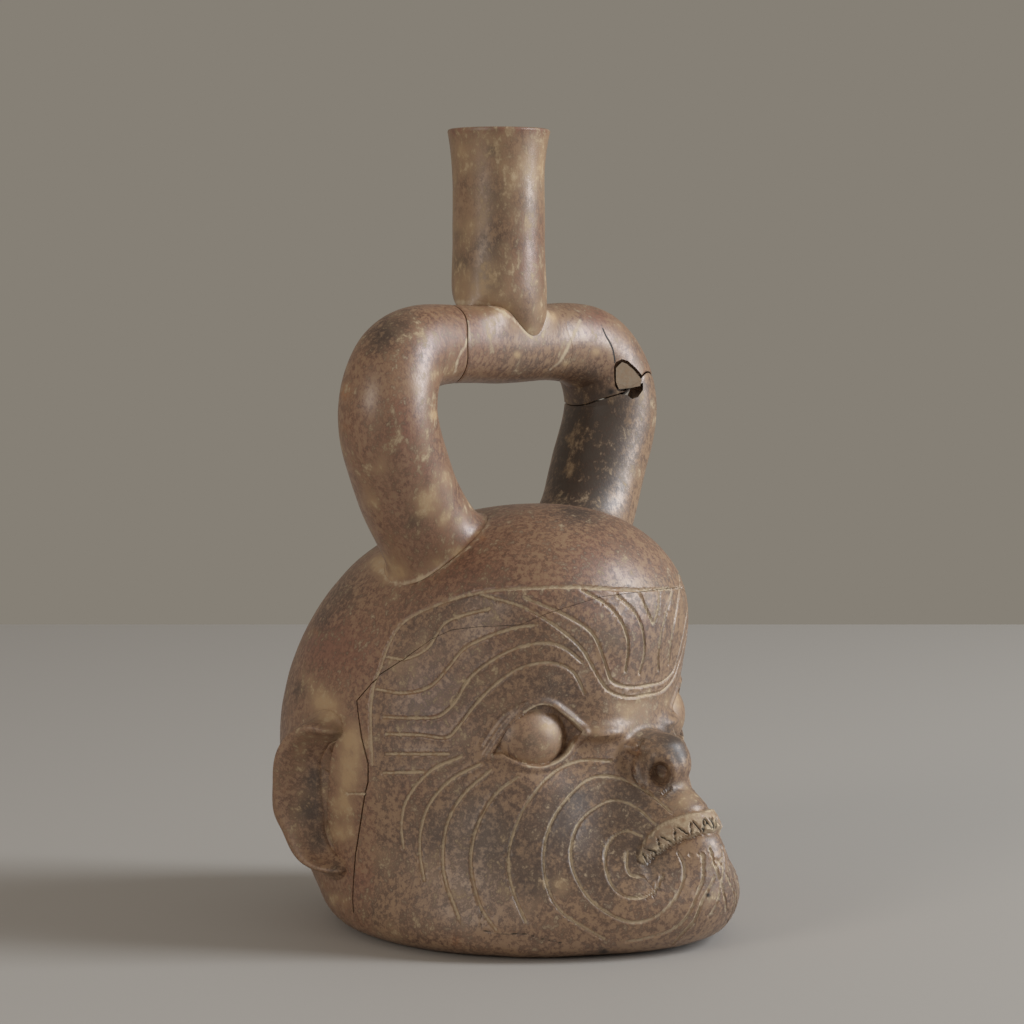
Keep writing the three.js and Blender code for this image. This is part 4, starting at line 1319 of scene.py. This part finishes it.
# More paint of one kind round a pixel of the photograph: across, down, radius in pixels, and amount
PATCHES = {
    "slip": (
        (456, 129, 6, 0.9), (470, 127, 7, 0.9), (486, 126, 7, 0.9), (502, 126, 7, 0.9),
        (518, 126, 7, 0.9), (534, 127, 7, 0.9), (546, 129, 6, 0.9), (530, 262, 26, 0.5),
        (534, 225, 16, 0.3), (480, 332, 22, 0.3), (597, 318, 14, 0.5), (401, 434, 14, 0.5),
        (398, 408, 10, 0.4), (421, 466, 8, 0.6), (430, 340, 16, 0.25), (470, 570, 34, 0.2),
        (345, 648, 30, 0.5), (318, 645, 18, 0.4), (360, 880, 14, 0.3), (430, 690, 40, 0.2),
        (430, 720, 26, 0.2), (592, 606, 18, 0.35), (540, 602, 20, 0.3), (640, 622, 18, 0.3),
        (612, 668, 16, 0.2), (500, 640, 20, 0.2), (410, 790, 16, 0.2), (590, 560, 24, 0.25)),
    "soot_and_shade": (
        (493, 150, 6, 0.8), (496, 196, 20, 0.35), (492, 246, 24, 0.5), (487, 282, 15, 0.5),
        (460, 264, 10, 0.6), (456, 235, 7, 0.4), (387, 330, 20, 0.7), (410, 316, 14, 0.35),
        # (520, 367), (560, 370) and (590, 374) are painted shade on the underside of the stirrup's bar
        (374, 346, 14, 0.4), (388, 420, 12, 0.3), (414, 521, 9, 0.5), (520, 367, 24, 0.5),
        (560, 370, 22, 0.5), (590, 374, 16, 0.45), (600, 412, 30, 1.3), (588, 455, 34, 1.4),
        # (630, 392) is painted shadow in the gap under the left elbow's lower edge
        (578, 495, 26, 1.3), (630, 392, 10, 0.5), (580, 795, 16, 0.45), (645, 345, 14, 0.3),
        (606, 890, 20, 0.2), (342, 592, 22, 0.5), (320, 618, 14, 0.45), (299, 690, 10, 0.45),
        # (308, 810), (314, 780), (317, 840), (338, 735) and (336, 868) are painted shade in the ear's hollow
        (352, 706, 6, 0.3), (308, 810, 16, 0.8), (314, 780, 14, 0.7), (317, 840, 12, 0.7),
        (338, 735, 7, 0.7), (336, 868, 8, 0.7), (440, 830, 24, 0.3), (500, 845, 34, 0.4),
        (590, 865, 30, 0.4), (562, 824, 26, 0.45), (470, 802, 22, 0.25), (575, 645, 12, 0.5),
        (610, 640, 12, 0.35), (555, 690, 20, 0.3), (530, 742, 9, 0.5), (540, 880, 18, 0.3),
        (632, 800, 28, 0.55), (650, 860, 26, 0.55), (610, 830, 24, 0.3), (672, 741, 14, 0.9),
        (680, 756, 8, 0.6), (650, 762, 10, 0.4), (670, 790, 9, 0.5), (645, 735, 12, 0.6),
        (604, 953, 5, 0.9), (372, 915, 12, 0.3)),
    "wear_and_highlight": (
        (533, 165, 18, 0.3), (470, 222, 14, 0.25), (478, 293, 20, 0.5), (461, 150, 8, 0.3),
        (517, 355, 4, 1.0), (596, 352, 5, 0.9), (566, 365, 4, 0.7), (580, 362, 5, 0.4),
        (455, 374, 8, 0.4), (500, 313, 9, 0.5), (516, 326, 8, 0.5), (553, 318, 8, 0.7),
        (549, 331, 6, 0.5), (612, 326, 14, 0.15), (630, 340, 12, 0.1), (414, 385, 13, 0.45),
        (436, 375, 8, 0.3), (370, 500, 12, 0.4), (382, 468, 11, 0.35), (428, 503, 15, 0.5),
        (446, 520, 12, 0.35), (435, 415, 4, 1.1), (472, 501, 4, 1.1), (380, 562, 8, 0.6),
        (403, 572, 8, 0.6), (435, 565, 8, 0.6), (458, 551, 7, 0.6), (478, 535, 6, 0.6),
        (394, 566, 18, 0.35), (570, 470, 8, 0.35), (568, 438, 5, 0.5), (640, 478, 10, 0.35),
        (608, 400, 8, 0.3), (318, 703, 13, 0.7), (334, 706, 15, 0.55), (310, 680, 9, 0.35),
        (352, 735, 13, 1.0), (350, 757, 13, 1.0), (348, 779, 13, 1.0), (344, 804, 12, 0.9),
        (342, 832, 12, 0.8), (338, 900, 12, 0.4), (378, 850, 12, 0.4), (390, 932, 16, 0.3),
        (398, 665, 10, 0.6), (420, 652, 12, 0.35), (500, 690, 16, 0.25), (450, 885, 16, 0.35),
        (560, 888, 11, 0.5), (526, 905, 14, 0.45), (642, 880, 14, 0.3), (615, 644, 10, 0.35),
        # (548, 728) on the right eyeball, (702, 900) on the chin and (447, 476) on the right leg are partly
        # wear and partly painted highlight where the light falls
        (548, 728, 9, 0.4), (600, 733, 12, 0.5), (630, 712, 16, 0.45), (672, 700, 10, 0.5),
        (702, 900, 18, 0.25), (722, 862, 14, 0.25), (688, 796, 12, 0.45), (676, 806, 14, 0.45),
        (640, 760, 6, 0.4), (425, 870, 14, 0.3), (636, 706, 22, 0.35), (447, 476, 13, 0.25),
        (377, 565, 9, 0.8), (386, 578, 8, 0.6)),
    "deposit": (
        (377, 565, 9, 0.5), (640, 706, 18, 0.2), (640, 732, 14, 0.2)),
    "ochre_and_rim_glow": (
        # These four, along the outer edge of the right leg, are a painted rim glow of warm bounced light
        (343, 392, 11, 0.9), (345, 428, 11, 0.7), (343, 362, 9, 0.6), (353, 462, 9, 0.5),
        (372, 532, 10, 0.6), (461, 196, 12, 0.5), (452, 140, 6, 0.4), (316, 632, 8, 0.8),
        (306, 662, 8, 0.5), (320, 888, 14, 0.8), (342, 906, 14, 0.6), (362, 924, 12, 0.5),
        (455, 940, 9, 0.9), (432, 926, 10, 0.4), (362, 870, 9, 0.6), (637, 752, 6, 0.9),
        (634, 770, 5, 0.8), (662, 776, 6, 0.7), (483, 538, 4, 1.2), (604, 868, 12, 0.35),
        (566, 880, 12, 0.4), (285, 790, 8, 0.5), (283, 840, 8, 0.5), (430, 715, 34, 0.3),
        (350, 780, 20, 0.15)),
    "fleck": (
        (470, 870, 60, 0.14), (600, 860, 60, 0.16), (560, 800, 40, 0.1), (410, 850, 40, 0.1)),
    "crack_dirt_and_shade": (
        # (634, 393) and (611, 392) are painted shadow in the gap under the left elbow's lower edge
        (708, 895, 2.5, 1.0), (604, 952, 4, 0.8), (727, 920, 2, 0.8), (634, 393, 5, 0.9),
        (611, 392, 4, 0.8)),
}


class Smear(NamedTuple):
    """Paint along a line: how strong it is up to middle millimetres from it, and where it ends."""
    strength: float
    middle: float
    edge: float


INCISED_SMEAR = Smear(1, 0.15, 0.65)
HAIRLINE_SMEAR = Smear(0.9, 0.2, 0.85)
LID_SMEAR = Smear(0.9, 0.1, 0.8)
LIP_SMEAR = Smear(0.5, -0.4, 0.2)
# Painted shade in the cut teeth
TOOTH_SHADE_SMEAR = Smear(0.9, 0.1, 0.4)
SMALL_CRACK_SMEAR = Smear(0.8, 0.05, 0.3)
ELBOW_CRACK_SMEAR = Smear(1, 0.15, 0.45)
# Painted shade in the ear's hollow: soot colour added and wear taken away inside it
EAR_HOLLOW_SHADE_SMEAR = Smear(0.9, -0.5, 0.1)
EAR_HOLLOW_SHADE_UNWORN_SMEAR = Smear(0.8, -0.5, 0.1)
SEAM_SMEAR = Smear(0.8, 0.2, 1.1)
LIP_EDGE_DEPOSIT = 0.7
LIP_EDGE_WIDTH = 0.5
HAIRLINE_SLOPE = (-0.8, 0.8)
HAIRLINE_MARGIN = 1
FACING_SLOPE = (0, 0.3)
CARVING_REACH = 2.5
HEAD_PIECES = ("chamber_floor", "face", "back_of_head", "crown", "nose_clay")


def smeared(gap, smear):
    """Paint of a smear at a gap from its line."""
    return smear.strength * fade(gap, smear.middle, smear.edge)


def facing_photo(piece, points):
    """How much each point of the skin faces the camera of the photograph."""
    flat = np.empty(3 * len(points))
    piece.data.vertex_normals.foreach_get("vector", flat)
    sight = unit(CAMERA_PLACE - points)
    return ramp((flat.reshape(-1, 3) * sight).sum(axis=1), *FACING_SLOPE)


def onto_skin(points):
    """Points moved back onto the smooth skin, out of what is carved in it."""
    return points - skin_normals(points, face_distance) * face_distance(points)[:, None]


def inside_hairline(points):
    """1 on the face, inside the hairline, and 0 on the crown and the back of the head."""
    traced = HAIRLINE[0] + HAIRLINE_FRONT[0][1:3]
    hairline = cast_in(smooth_line(traced, HAIRLINE_STEP), head_distance)
    hairline = hairline[np.argsort(hairline[:, 2])]
    edge = np.interp(points[:, 2], hairline[:, 2], -hairline[:, 1])
    under_top = points[:, 2] < hairline[-1, 2] + HAIRLINE_MARGIN
    return ramp(-points[:, 1] - edge, *HAIRLINE_SLOPE) * under_top


def paint_face(points, levels):
    """Adds what lies in the lines, on the lip and in the small cracks of the face, and painted shade in the
    cut teeth.
    """
    skin = onto_skin(points)
    for lines, smear in (
            (incised_on_face(), INCISED_SMEAR),
            (lines_on_face(HAIRLINE), HAIRLINE_SMEAR),
            (seen_on_face(HAIRLINE_FRONT), HAIRLINE_SMEAR),
            (lines_on_face(LID_EDGES), LID_SMEAR)):
        levels["deposit"] = np.maximum(levels["deposit"], smeared(distance_to(skin, lines), smear))
    lip = traced_gap(pixels_of(to_right_side(skin)), LIP_TOP, LIP_BOTTOM)
    on_lip = in_zone(points, LIP_ZONE)
    levels["deposit"] += on_lip * LIP_EDGE_DEPOSIT * hump(lip, 0, LIP_EDGE_WIDTH)
    for kind in ("wear_and_highlight", "deposit"):
        levels[kind] += on_lip * smeared(lip, LIP_SMEAR)
    # Painted shade: the dark crack colour laid in the cut teeth
    levels["crack_dirt_and_shade"] += smeared(distance_to(skin, lines_on_face(TOOTH_STROKES)), TOOTH_SHADE_SMEAR)
    levels["crack_dirt_and_shade"] += smeared(distance_to(skin, seen_on_face(SMALL_CRACKS)), SMALL_CRACK_SMEAR)


def paint(piece):
    """Writes the paint of a piece as attributes of its points."""
    points = points_of(piece)
    on_head = piece.name in HEAD_PIECES
    on_face = inside_hairline(points) if on_head else np.zeros(len(points))
    coat = CROWN_COAT if on_head else COATS[piece.name]
    levels = {kind: level + (getattr(FACE_COAT, kind) - level) * on_face
              for kind, level in coat._asdict().items()}
    pixels = pixels_of(points)
    facing = facing_photo(piece, points)
    for kind, patches in PATCHES.items():
        for across, down, radius, amount in patches:
            reach = np.linalg.norm(pixels - (across, down), axis=1)
            levels[kind] += amount * facing * hump(reach, 0, radius)
    if on_head:
        near_skin = np.abs(face_distance(points)) < CARVING_REACH
        face = np.flatnonzero(in_zone(points, FACE_ZONE) & near_skin)
        carved = {kind: level[face] for kind, level in levels.items()}
        paint_face(points[face], carved)
        for kind, level in carved.items():
            levels[kind][face] = level
    # Painted shade in the ear's hollow, on the head pieces
    if piece.name in ("face", "back_of_head"):
        sides = np.flatnonzero(in_zone(points, EAR_ZONE))
        gap = hollow_gap(points[sides])
        levels["soot_and_shade"][sides] += smeared(gap, EAR_HOLLOW_SHADE_SMEAR)
        levels["wear_and_highlight"][sides] -= smeared(gap, EAR_HOLLOW_SHADE_UNWORN_SMEAR)
    for seam in PALE_SEAMS.get(piece.name, ()):
        seen = on_piece(piece, smooth_line(seam, SEAM_STEP))
        if len(seen):
            levels["deposit"] += smeared(distance_to(points, seen), SEAM_SMEAR)
    if piece.name == "left_elbow_clay":
        seen = on_piece(piece, smooth_line(ELBOW_CRACK, SEAM_STEP))
        levels["crack_dirt_and_shade"] += smeared(distance_to(points, seen), ELBOW_CRACK_SMEAR)
    for kind, level in levels.items():
        set_attribute(piece, kind, level)


# Materials

class Grain(NamedTuple):
    """Noise in the clay, with features of about this size in millimetres."""
    size: float
    detail: float
    roughness: float


GRAINS = {
    "cloud": Grain(size=26, detail=3, roughness=0.6),
    "mottle": Grain(size=6, detail=6, roughness=0.65),
    "speck": Grain(size=1.5, detail=3, roughness=0.75),
    "grit": Grain(size=0.5, detail=2, roughness=0.6),
}


class Layer(NamedTuple):
    """A coat over those before it. It shows where its paint and shares of grains add up from low to high."""
    paint: str
    colour: str
    grains: tuple
    low: float
    high: float
    cover: float = 1


# The soot, ochre, wear and crack layers also lay the painted shade, rim glow and highlights that the patches
# and smears put in their paint
LAYERS = (
    Layer("slip", "slip", (("cloud", 0.9), ("mottle", 1.5), ("speck", 1.8)), 1.95, 2.95),
    Layer("ochre_and_rim_glow", "ochre_and_rim_glow", (("mottle", 1.6), ("speck", 1.8)), 1.95, 2.7, 0.8),
    Layer("soot_and_shade", "soot_and_shade", (("cloud", 1.5), ("mottle", 1.2), ("speck", 2.1)), 2.35, 3.55, 0.87),
    Layer("fleck", "fleck", (("speck", 3.0), ("mottle", 2.0), ("grit", 1.0)), 2.9, 3.9, 0.7),
    Layer("wear_and_highlight", "buff", (("cloud", 0.8), ("mottle", 2.8), ("speck", 0.9)), 2.4, 3.4, 0.8),
    Layer("deposit", "deposit", (("mottle", 2.0), ("speck", 1.6)), 1.9, 2.9, 0.9),
    Layer("crack_dirt_and_shade", "crack_dirt_and_shade", (), 0.1, 0.9),
)
DULLING = (("mottle", 0.12), ("soot_and_shade", 0.1), ("wear_and_highlight", 0.12), ("deposit", 0.3), ("crack_dirt_and_shade", 0.4))
STREAK = 0.7
BURNISHED_IOR = 1.7
SPECK_RELIEF = 0.6
GRAIN_RELIEF = 0.15
GRAIN_RELIEF_STRENGTH = 0.25
SAND_SIZE = 1
SAND_DETAIL = 4
SAND_RELIEF = 0.2
SAND_RELIEF_STRENGTH = 0.4
FILLER_ROUGHNESS = 0.9

# Sockets of a Mix node that mixes two colours
MIX_SHARE, MIX_UNDER, MIX_OVER, MIX_RESULT = 0, 6, 7, 2


def per_mm(size):
    """Scale of a noise whose features are about size millimetres wide."""
    return 1 / (size * MM)


def add_node(tree, kind, inputs=None, **settings):
    """Adds a node, with its settings and with values or links for its inputs."""
    made = tree.nodes.new(kind)
    for name, value in settings.items():
        setattr(made, name, value)
    for key, value in (inputs or {}).items():
        if isinstance(value, bpy.types.NodeSocket):
            tree.links.new(value, made.inputs[key])
        else:
            made.inputs[key].default_value = value
    return made


def new_material(name):
    material = bpy.data.materials.new(name)
    material.use_nodes = True
    material.node_tree.nodes.clear()
    return material


def clay_material(name, colours, satin, streak=1):
    """Burnished earthenware: rubbed with a pebble before firing, so it has a soft sheen over mottled clay.

    satin is its roughness where it is least worn. The marks of the pebble draw the grains out upwards where
    streak is below 1."""
    material = new_material(name)
    tree = material.node_tree
    place = add_node(tree, "ShaderNodeTexCoord").outputs["Object"]
    place = add_node(tree, "ShaderNodeMapping", {"Vector": place, "Scale": (1, 1, streak)}).outputs[0]
    shares = {}
    for grain_name, grain in GRAINS.items():
        shares[grain_name] = add_node(tree, "ShaderNodeTexNoise", {
            "Vector": place, "Scale": per_mm(grain.size), "Detail": grain.detail,
            "Roughness": grain.roughness}).outputs["Fac"]
    tint = (*colours.clay, 1)
    for layer in LAYERS:
        total = add_node(tree, "ShaderNodeAttribute", attribute_name=layer.paint).outputs["Fac"]
        for grain_name, share in layer.grains:
            total = add_node(tree, "ShaderNodeMath", {0: shares[grain_name], 1: share, 2: total},
                             operation="MULTIPLY_ADD").outputs[0]
        shares[layer.paint] = add_node(tree, "ShaderNodeMapRange", {
            "Value": total, "From Min": layer.low, "From Max": layer.high, "To Max": layer.cover},
            interpolation_type="SMOOTHSTEP").outputs[0]
        tint = add_node(tree, "ShaderNodeMix", {
            MIX_SHARE: shares[layer.paint], MIX_UNDER: tint,
            MIX_OVER: (*getattr(colours, layer.colour), 1)}, data_type="RGBA").outputs[MIX_RESULT]
    dull = satin
    for share_name, share in DULLING:
        dull = add_node(tree, "ShaderNodeMath", {0: shares[share_name], 1: share, 2: dull},
                        operation="MULTIPLY_ADD").outputs[0]
    height = add_node(tree, "ShaderNodeMath", {0: shares["speck"], 1: SPECK_RELIEF, 2: shares["grit"]},
                      operation="MULTIPLY_ADD").outputs[0]
    bump = add_node(tree, "ShaderNodeBump", {
        "Height": height, "Strength": GRAIN_RELIEF_STRENGTH, "Distance": GRAIN_RELIEF * MM})
    shader = add_node(tree, "ShaderNodeBsdfPrincipled", {
        "Base Color": tint, "Roughness": dull, "Normal": bump.outputs[0], "IOR": BURNISHED_IOR})
    add_node(tree, "ShaderNodeOutputMaterial", {"Surface": shader.outputs[0]})
    return material


def filler_material(colours):
    """Grey plaster of an old repair: matt, with a little sand in it."""
    material = new_material("grey_filler")
    tree = material.node_tree
    place = add_node(tree, "ShaderNodeTexCoord").outputs["Object"]
    sand = add_node(tree, "ShaderNodeTexNoise", {
        "Vector": place, "Scale": per_mm(SAND_SIZE), "Detail": SAND_DETAIL}).outputs["Fac"]
    tint = add_node(tree, "ShaderNodeMix", {
        MIX_SHARE: sand, MIX_UNDER: (*colours.filler, 1), MIX_OVER: (*colours.clay, 1)},
        data_type="RGBA").outputs[MIX_RESULT]
    bump = add_node(tree, "ShaderNodeBump", {
        "Height": sand, "Strength": SAND_RELIEF_STRENGTH, "Distance": SAND_RELIEF * MM})
    shader = add_node(tree, "ShaderNodeBsdfPrincipled", {
        "Base Color": tint, "Roughness": FILLER_ROUGHNESS, "Normal": bump.outputs[0]})
    add_node(tree, "ShaderNodeOutputMaterial", {"Surface": shader.outputs[0]})
    return material


# Operators

HEAD_SATIN = 0.39
EAR_SATIN = 0.5
STIRRUP_SATIN = 0.35
SPOUT_SATIN = 0.34
TUBE_SEGMENTS = 144
RIGHT_ARM_ROWS = 170
LEFT_LEG_ROWS = 120
BAR_ROWS = 110
ELBOW_ROWS = 150
FAINT_GAP = 1 / 8


class VESSEL_OT_head(bpy.types.Operator):
    """Model the hollow head: floor, face, back, crown, nose and eyes"""
    bl_idname = "vessel.head"
    bl_label = "Head"

    def execute(self, context):
        sizes = context.scene.vessel_sizes
        clay = clay_material("burnished_clay", context.scene.vessel_colours, HEAD_SATIN)
        pieces = part_head(*sculpt_head(sizes), sizes)
        for name, node, slot in (
                ("floor", "base_floor", "brown_clay"), ("face", "face_shell", "brown_clay"),
                ("back", "rear_shell", "red_slip_clay"), ("crown", "crown_shell", "red_slip_clay"),
                ("nose", "nose", "sooty_clay"), ("right_eye", "right_eye", "brown_clay"),
                ("left_eye", "left_eye", "brown_clay")):
            finish_clay(pieces[name], node, clay)
        return {"FINISHED"}


class VESSEL_OT_ears(bpy.types.Operator):
    """Model the two cupped ears"""
    bl_idname = "vessel.ears"
    bl_label = "Ears"

    def execute(self, context):
        clay = clay_material("burnished_ear_clay", context.scene.vessel_colours, EAR_SATIN)
        for name, side in (("right_ear", -1), ("left_ear", 1)):
            finish_clay(ear_piece(name + "_clay", side), name, clay)
        return {"FINISHED"}


class VESSEL_OT_stirrup(bpy.types.Operator):
    """Model the four broken tubes of the stirrup and the filler in its chip"""
    bl_idname = "vessel.stirrup"
    bl_label = "Stirrup"

    def execute(self, context):
        sizes = context.scene.vessel_sizes
        colours = context.scene.vessel_colours
        clay = clay_material("burnished_stirrup_clay", colours, STIRRUP_SATIN, STREAK)
        half_gap = sizes.crack_width / MM / 2 / ARCH_LENGTH
        faint_gap = half_gap * FAINT_GAP
        angles = full_turn(TUBE_SEGMENTS)
        right_break = break_shares(RIGHT_BREAK, angles)
        left_break = break_shares(LEFT_BREAK, angles)
        elbow_break = break_shares(ELBOW_BREAK, angles)
        right_arm = ring_piece("right_arm_clay", leg_loops(
            on_tube, right_break - half_gap, angles, RIGHT_ARM_ROWS, RIGHT_FOOT_REACH, sizes))
        left_leg = ring_piece("left_leg_clay", leg_loops(
            from_left, 1 - elbow_break - half_gap, angles, LEFT_LEG_ROWS, LEFT_FOOT_REACH, sizes))
        bar = ring_piece("stirrup_bar_clay", tube_loops(
            right_break + half_gap, left_break - faint_gap, angles, BAR_ROWS,
            (WORN_EDGE, FAINT_EDGE), sizes))
        elbow = ring_piece("left_elbow_clay", tube_loops(
            left_break + faint_gap, elbow_break - half_gap, angles, ELBOW_ROWS,
            (FAINT_EDGE, WORN_EDGE), sizes))
        set_points(bar, on_saddle(points_of(bar)))
        plug = slab("elbow_fill_clay", PLUG_OUTLINE, PLUG_SINK, PLUG_DEPTH, elbow)
        for piece, outline in ((elbow, CHIP_OUTLINE), (left_leg, LEG_CHIP_OUTLINE)):
            chip = slab("chip", outline, -CHIP_DEPTH, CHIP_DEPTH, piece)
            cut(piece, chip, "DIFFERENCE")
            remove(chip)
        for piece, node, slot in (
                (right_arm, "right_arm", "red_slip_clay"), (bar, "stirrup_bar", "brown_clay"),
                (elbow, "left_elbow", "brown_clay"), (left_leg, "left_leg", "sooty_clay")):
            finish_clay(piece, node, clay)
        finish_piece(plug, "elbow_fill", filler_material(colours))
        return {"FINISHED"}


class VESSEL_OT_spout(bpy.types.Operator):
    """Model the flared spout"""
    bl_idname = "vessel.spout"
    bl_label = "Spout"

    def execute(self, context):
        sizes = context.scene.vessel_sizes
        clay = clay_material("burnished_spout_clay", context.scene.vessel_colours, SPOUT_SATIN, STREAK)
        spout = ring_piece("spout_clay", spout_loops(full_turn(TUBE_SEGMENTS), sizes))
        finish_clay(spout, "spout", clay)
        return {"FINISHED"}


# Stage, in metres

class Lamp(NamedTuple):
    """A soft box: its place to the right of the vessel, towards the camera and up, and its size."""
    name: str
    right: float
    near: float
    up: float
    width: float
    height: float
    watts: float
    tint: tuple


LAMPS = (
    Lamp("key_light", right=1.6, near=0.1, up=0.8, width=0.5, height=1.4, watts=34.5, tint=(0.85, 0.93, 1)),
    Lamp("fill_light", right=-0.9, near=1.1, up=0.55, width=0.5, height=0.5, watts=4.8,
         tint=(1, 0.95, 0.87)),
)
LAMP_AIM = Vector((0, 0, 0.1))
ROOM_TINT = (1, 0.93, 0.83)
ROOM_STRENGTH = 0.31
FLOOR_SIZE = 1.55
FLOOR_ROUGHNESS = 0.7


def lay_floor(colours):
    floor = new_primitive("floor_plane", bpy.ops.mesh.primitive_plane_add, size=FLOOR_SIZE)
    floor.rotation_euler.z = VIEW_TURN
    material = bpy.data.materials.new("pale_floor")
    material.use_nodes = True
    shader = material.node_tree.nodes["Principled BSDF"]
    shader.inputs["Base Color"].default_value = (*colours.floor, 1)
    shader.inputs["Roughness"].default_value = FLOOR_ROUGHNESS
    floor.data.materials.append(material)


def hang_lamp(lamp):
    light = bpy.data.lights.new(lamp.name, "AREA")
    light.shape = "RECTANGLE"
    light.size = lamp.width
    light.size_y = lamp.height
    light.energy = lamp.watts
    light.color = lamp.tint
    place = Vector(VIEW_RIGHT) * lamp.right + Vector(VIEW_BACK) * lamp.near
    place.z += lamp.up
    aim = (LAMP_AIM - place).to_track_quat("-Z", "Y").to_matrix().to_4x4()
    lamp_object = bpy.data.objects.new(lamp.name, light)
    lamp_object.matrix_world = Matrix.Translation(place) @ aim
    bpy.context.scene.collection.objects.link(lamp_object)


def studio_world(colours):
    """World whose backdrop is seen by the camera and in reflections, with a dimmer light on all else."""
    world = bpy.data.worlds.new("studio")
    world.use_nodes = True
    tree = world.node_tree
    tree.nodes.clear()
    path = add_node(tree, "ShaderNodeLightPath").outputs
    seen = add_node(tree, "ShaderNodeMath", {0: path["Is Camera Ray"], 1: path["Is Glossy Ray"]},
                    operation="MAXIMUM").outputs[0]
    shown = add_node(tree, "ShaderNodeBackground", {"Color": (*colours.backdrop, 1), "Strength": 1})
    room = add_node(tree, "ShaderNodeBackground", {"Color": (*ROOM_TINT, 1), "Strength": ROOM_STRENGTH})
    both = add_node(tree, "ShaderNodeMixShader", {0: seen, 1: room.outputs[0], 2: shown.outputs[0]})
    add_node(tree, "ShaderNodeOutputWorld", {"Surface": both.outputs[0]})
    return world


def photo_camera():
    """Camera that stands where the photograph was taken."""
    view = bpy.data.cameras.new("photo_camera")
    view.sensor_width = SENSOR_WIDTH
    view.lens = FOCAL_PIXELS / PHOTO_SIZE * SENSOR_WIDTH
    camera = bpy.data.objects.new("photo_camera", view)
    axes = Matrix((VIEW_RIGHT, VIEW_UP, -VIEW_AHEAD)).transposed().to_4x4()
    camera.matrix_world = Matrix.Translation(CAMERA_PLACE * MM) @ axes
    bpy.context.scene.collection.objects.link(camera)
    return camera


class VESSEL_OT_stage(bpy.types.Operator):
    """Set the floor, the lights and the camera"""
    bl_idname = "vessel.stage"
    bl_label = "Stage"

    def execute(self, context):
        scene = context.scene
        lay_floor(scene.vessel_colours)
        for lamp in LAMPS:
            hang_lamp(lamp)
        scene.world = studio_world(scene.vessel_colours)
        scene.view_settings.view_transform = "Standard"
        scene.camera = photo_camera()
        return {"FINISHED"}


class VESSEL_PT_panel(bpy.types.Panel):
    bl_label = "Vessel"
    bl_idname = "VESSEL_PT_panel"
    bl_space_type = "VIEW_3D"
    bl_region_type = "UI"
    bl_category = "Vessel"

    def draw(self, context):
        for operator in OPERATORS:
            self.layout.operator(operator.bl_idname)


OPERATORS = (VESSEL_OT_head, VESSEL_OT_ears, VESSEL_OT_stirrup, VESSEL_OT_spout, VESSEL_OT_stage)
CLASSES = (VesselSizes, VesselColours, *OPERATORS, VESSEL_PT_panel)


def register():
    for item in CLASSES:
        bpy.utils.register_class(item)
    bpy.types.Scene.vessel_sizes = bpy.props.PointerProperty(type=VesselSizes)
    bpy.types.Scene.vessel_colours = bpy.props.PointerProperty(type=VesselColours)


def unregister():
    del bpy.types.Scene.vessel_colours
    del bpy.types.Scene.vessel_sizes
    for item in reversed(CLASSES):
        bpy.utils.unregister_class(item)


def main():
    register()
    bpy.ops.vessel.head()
    bpy.ops.vessel.ears()
    bpy.ops.vessel.stirrup()
    bpy.ops.vessel.spout()
    bpy.ops.vessel.stage()


if __name__ == "__main__":
    main()
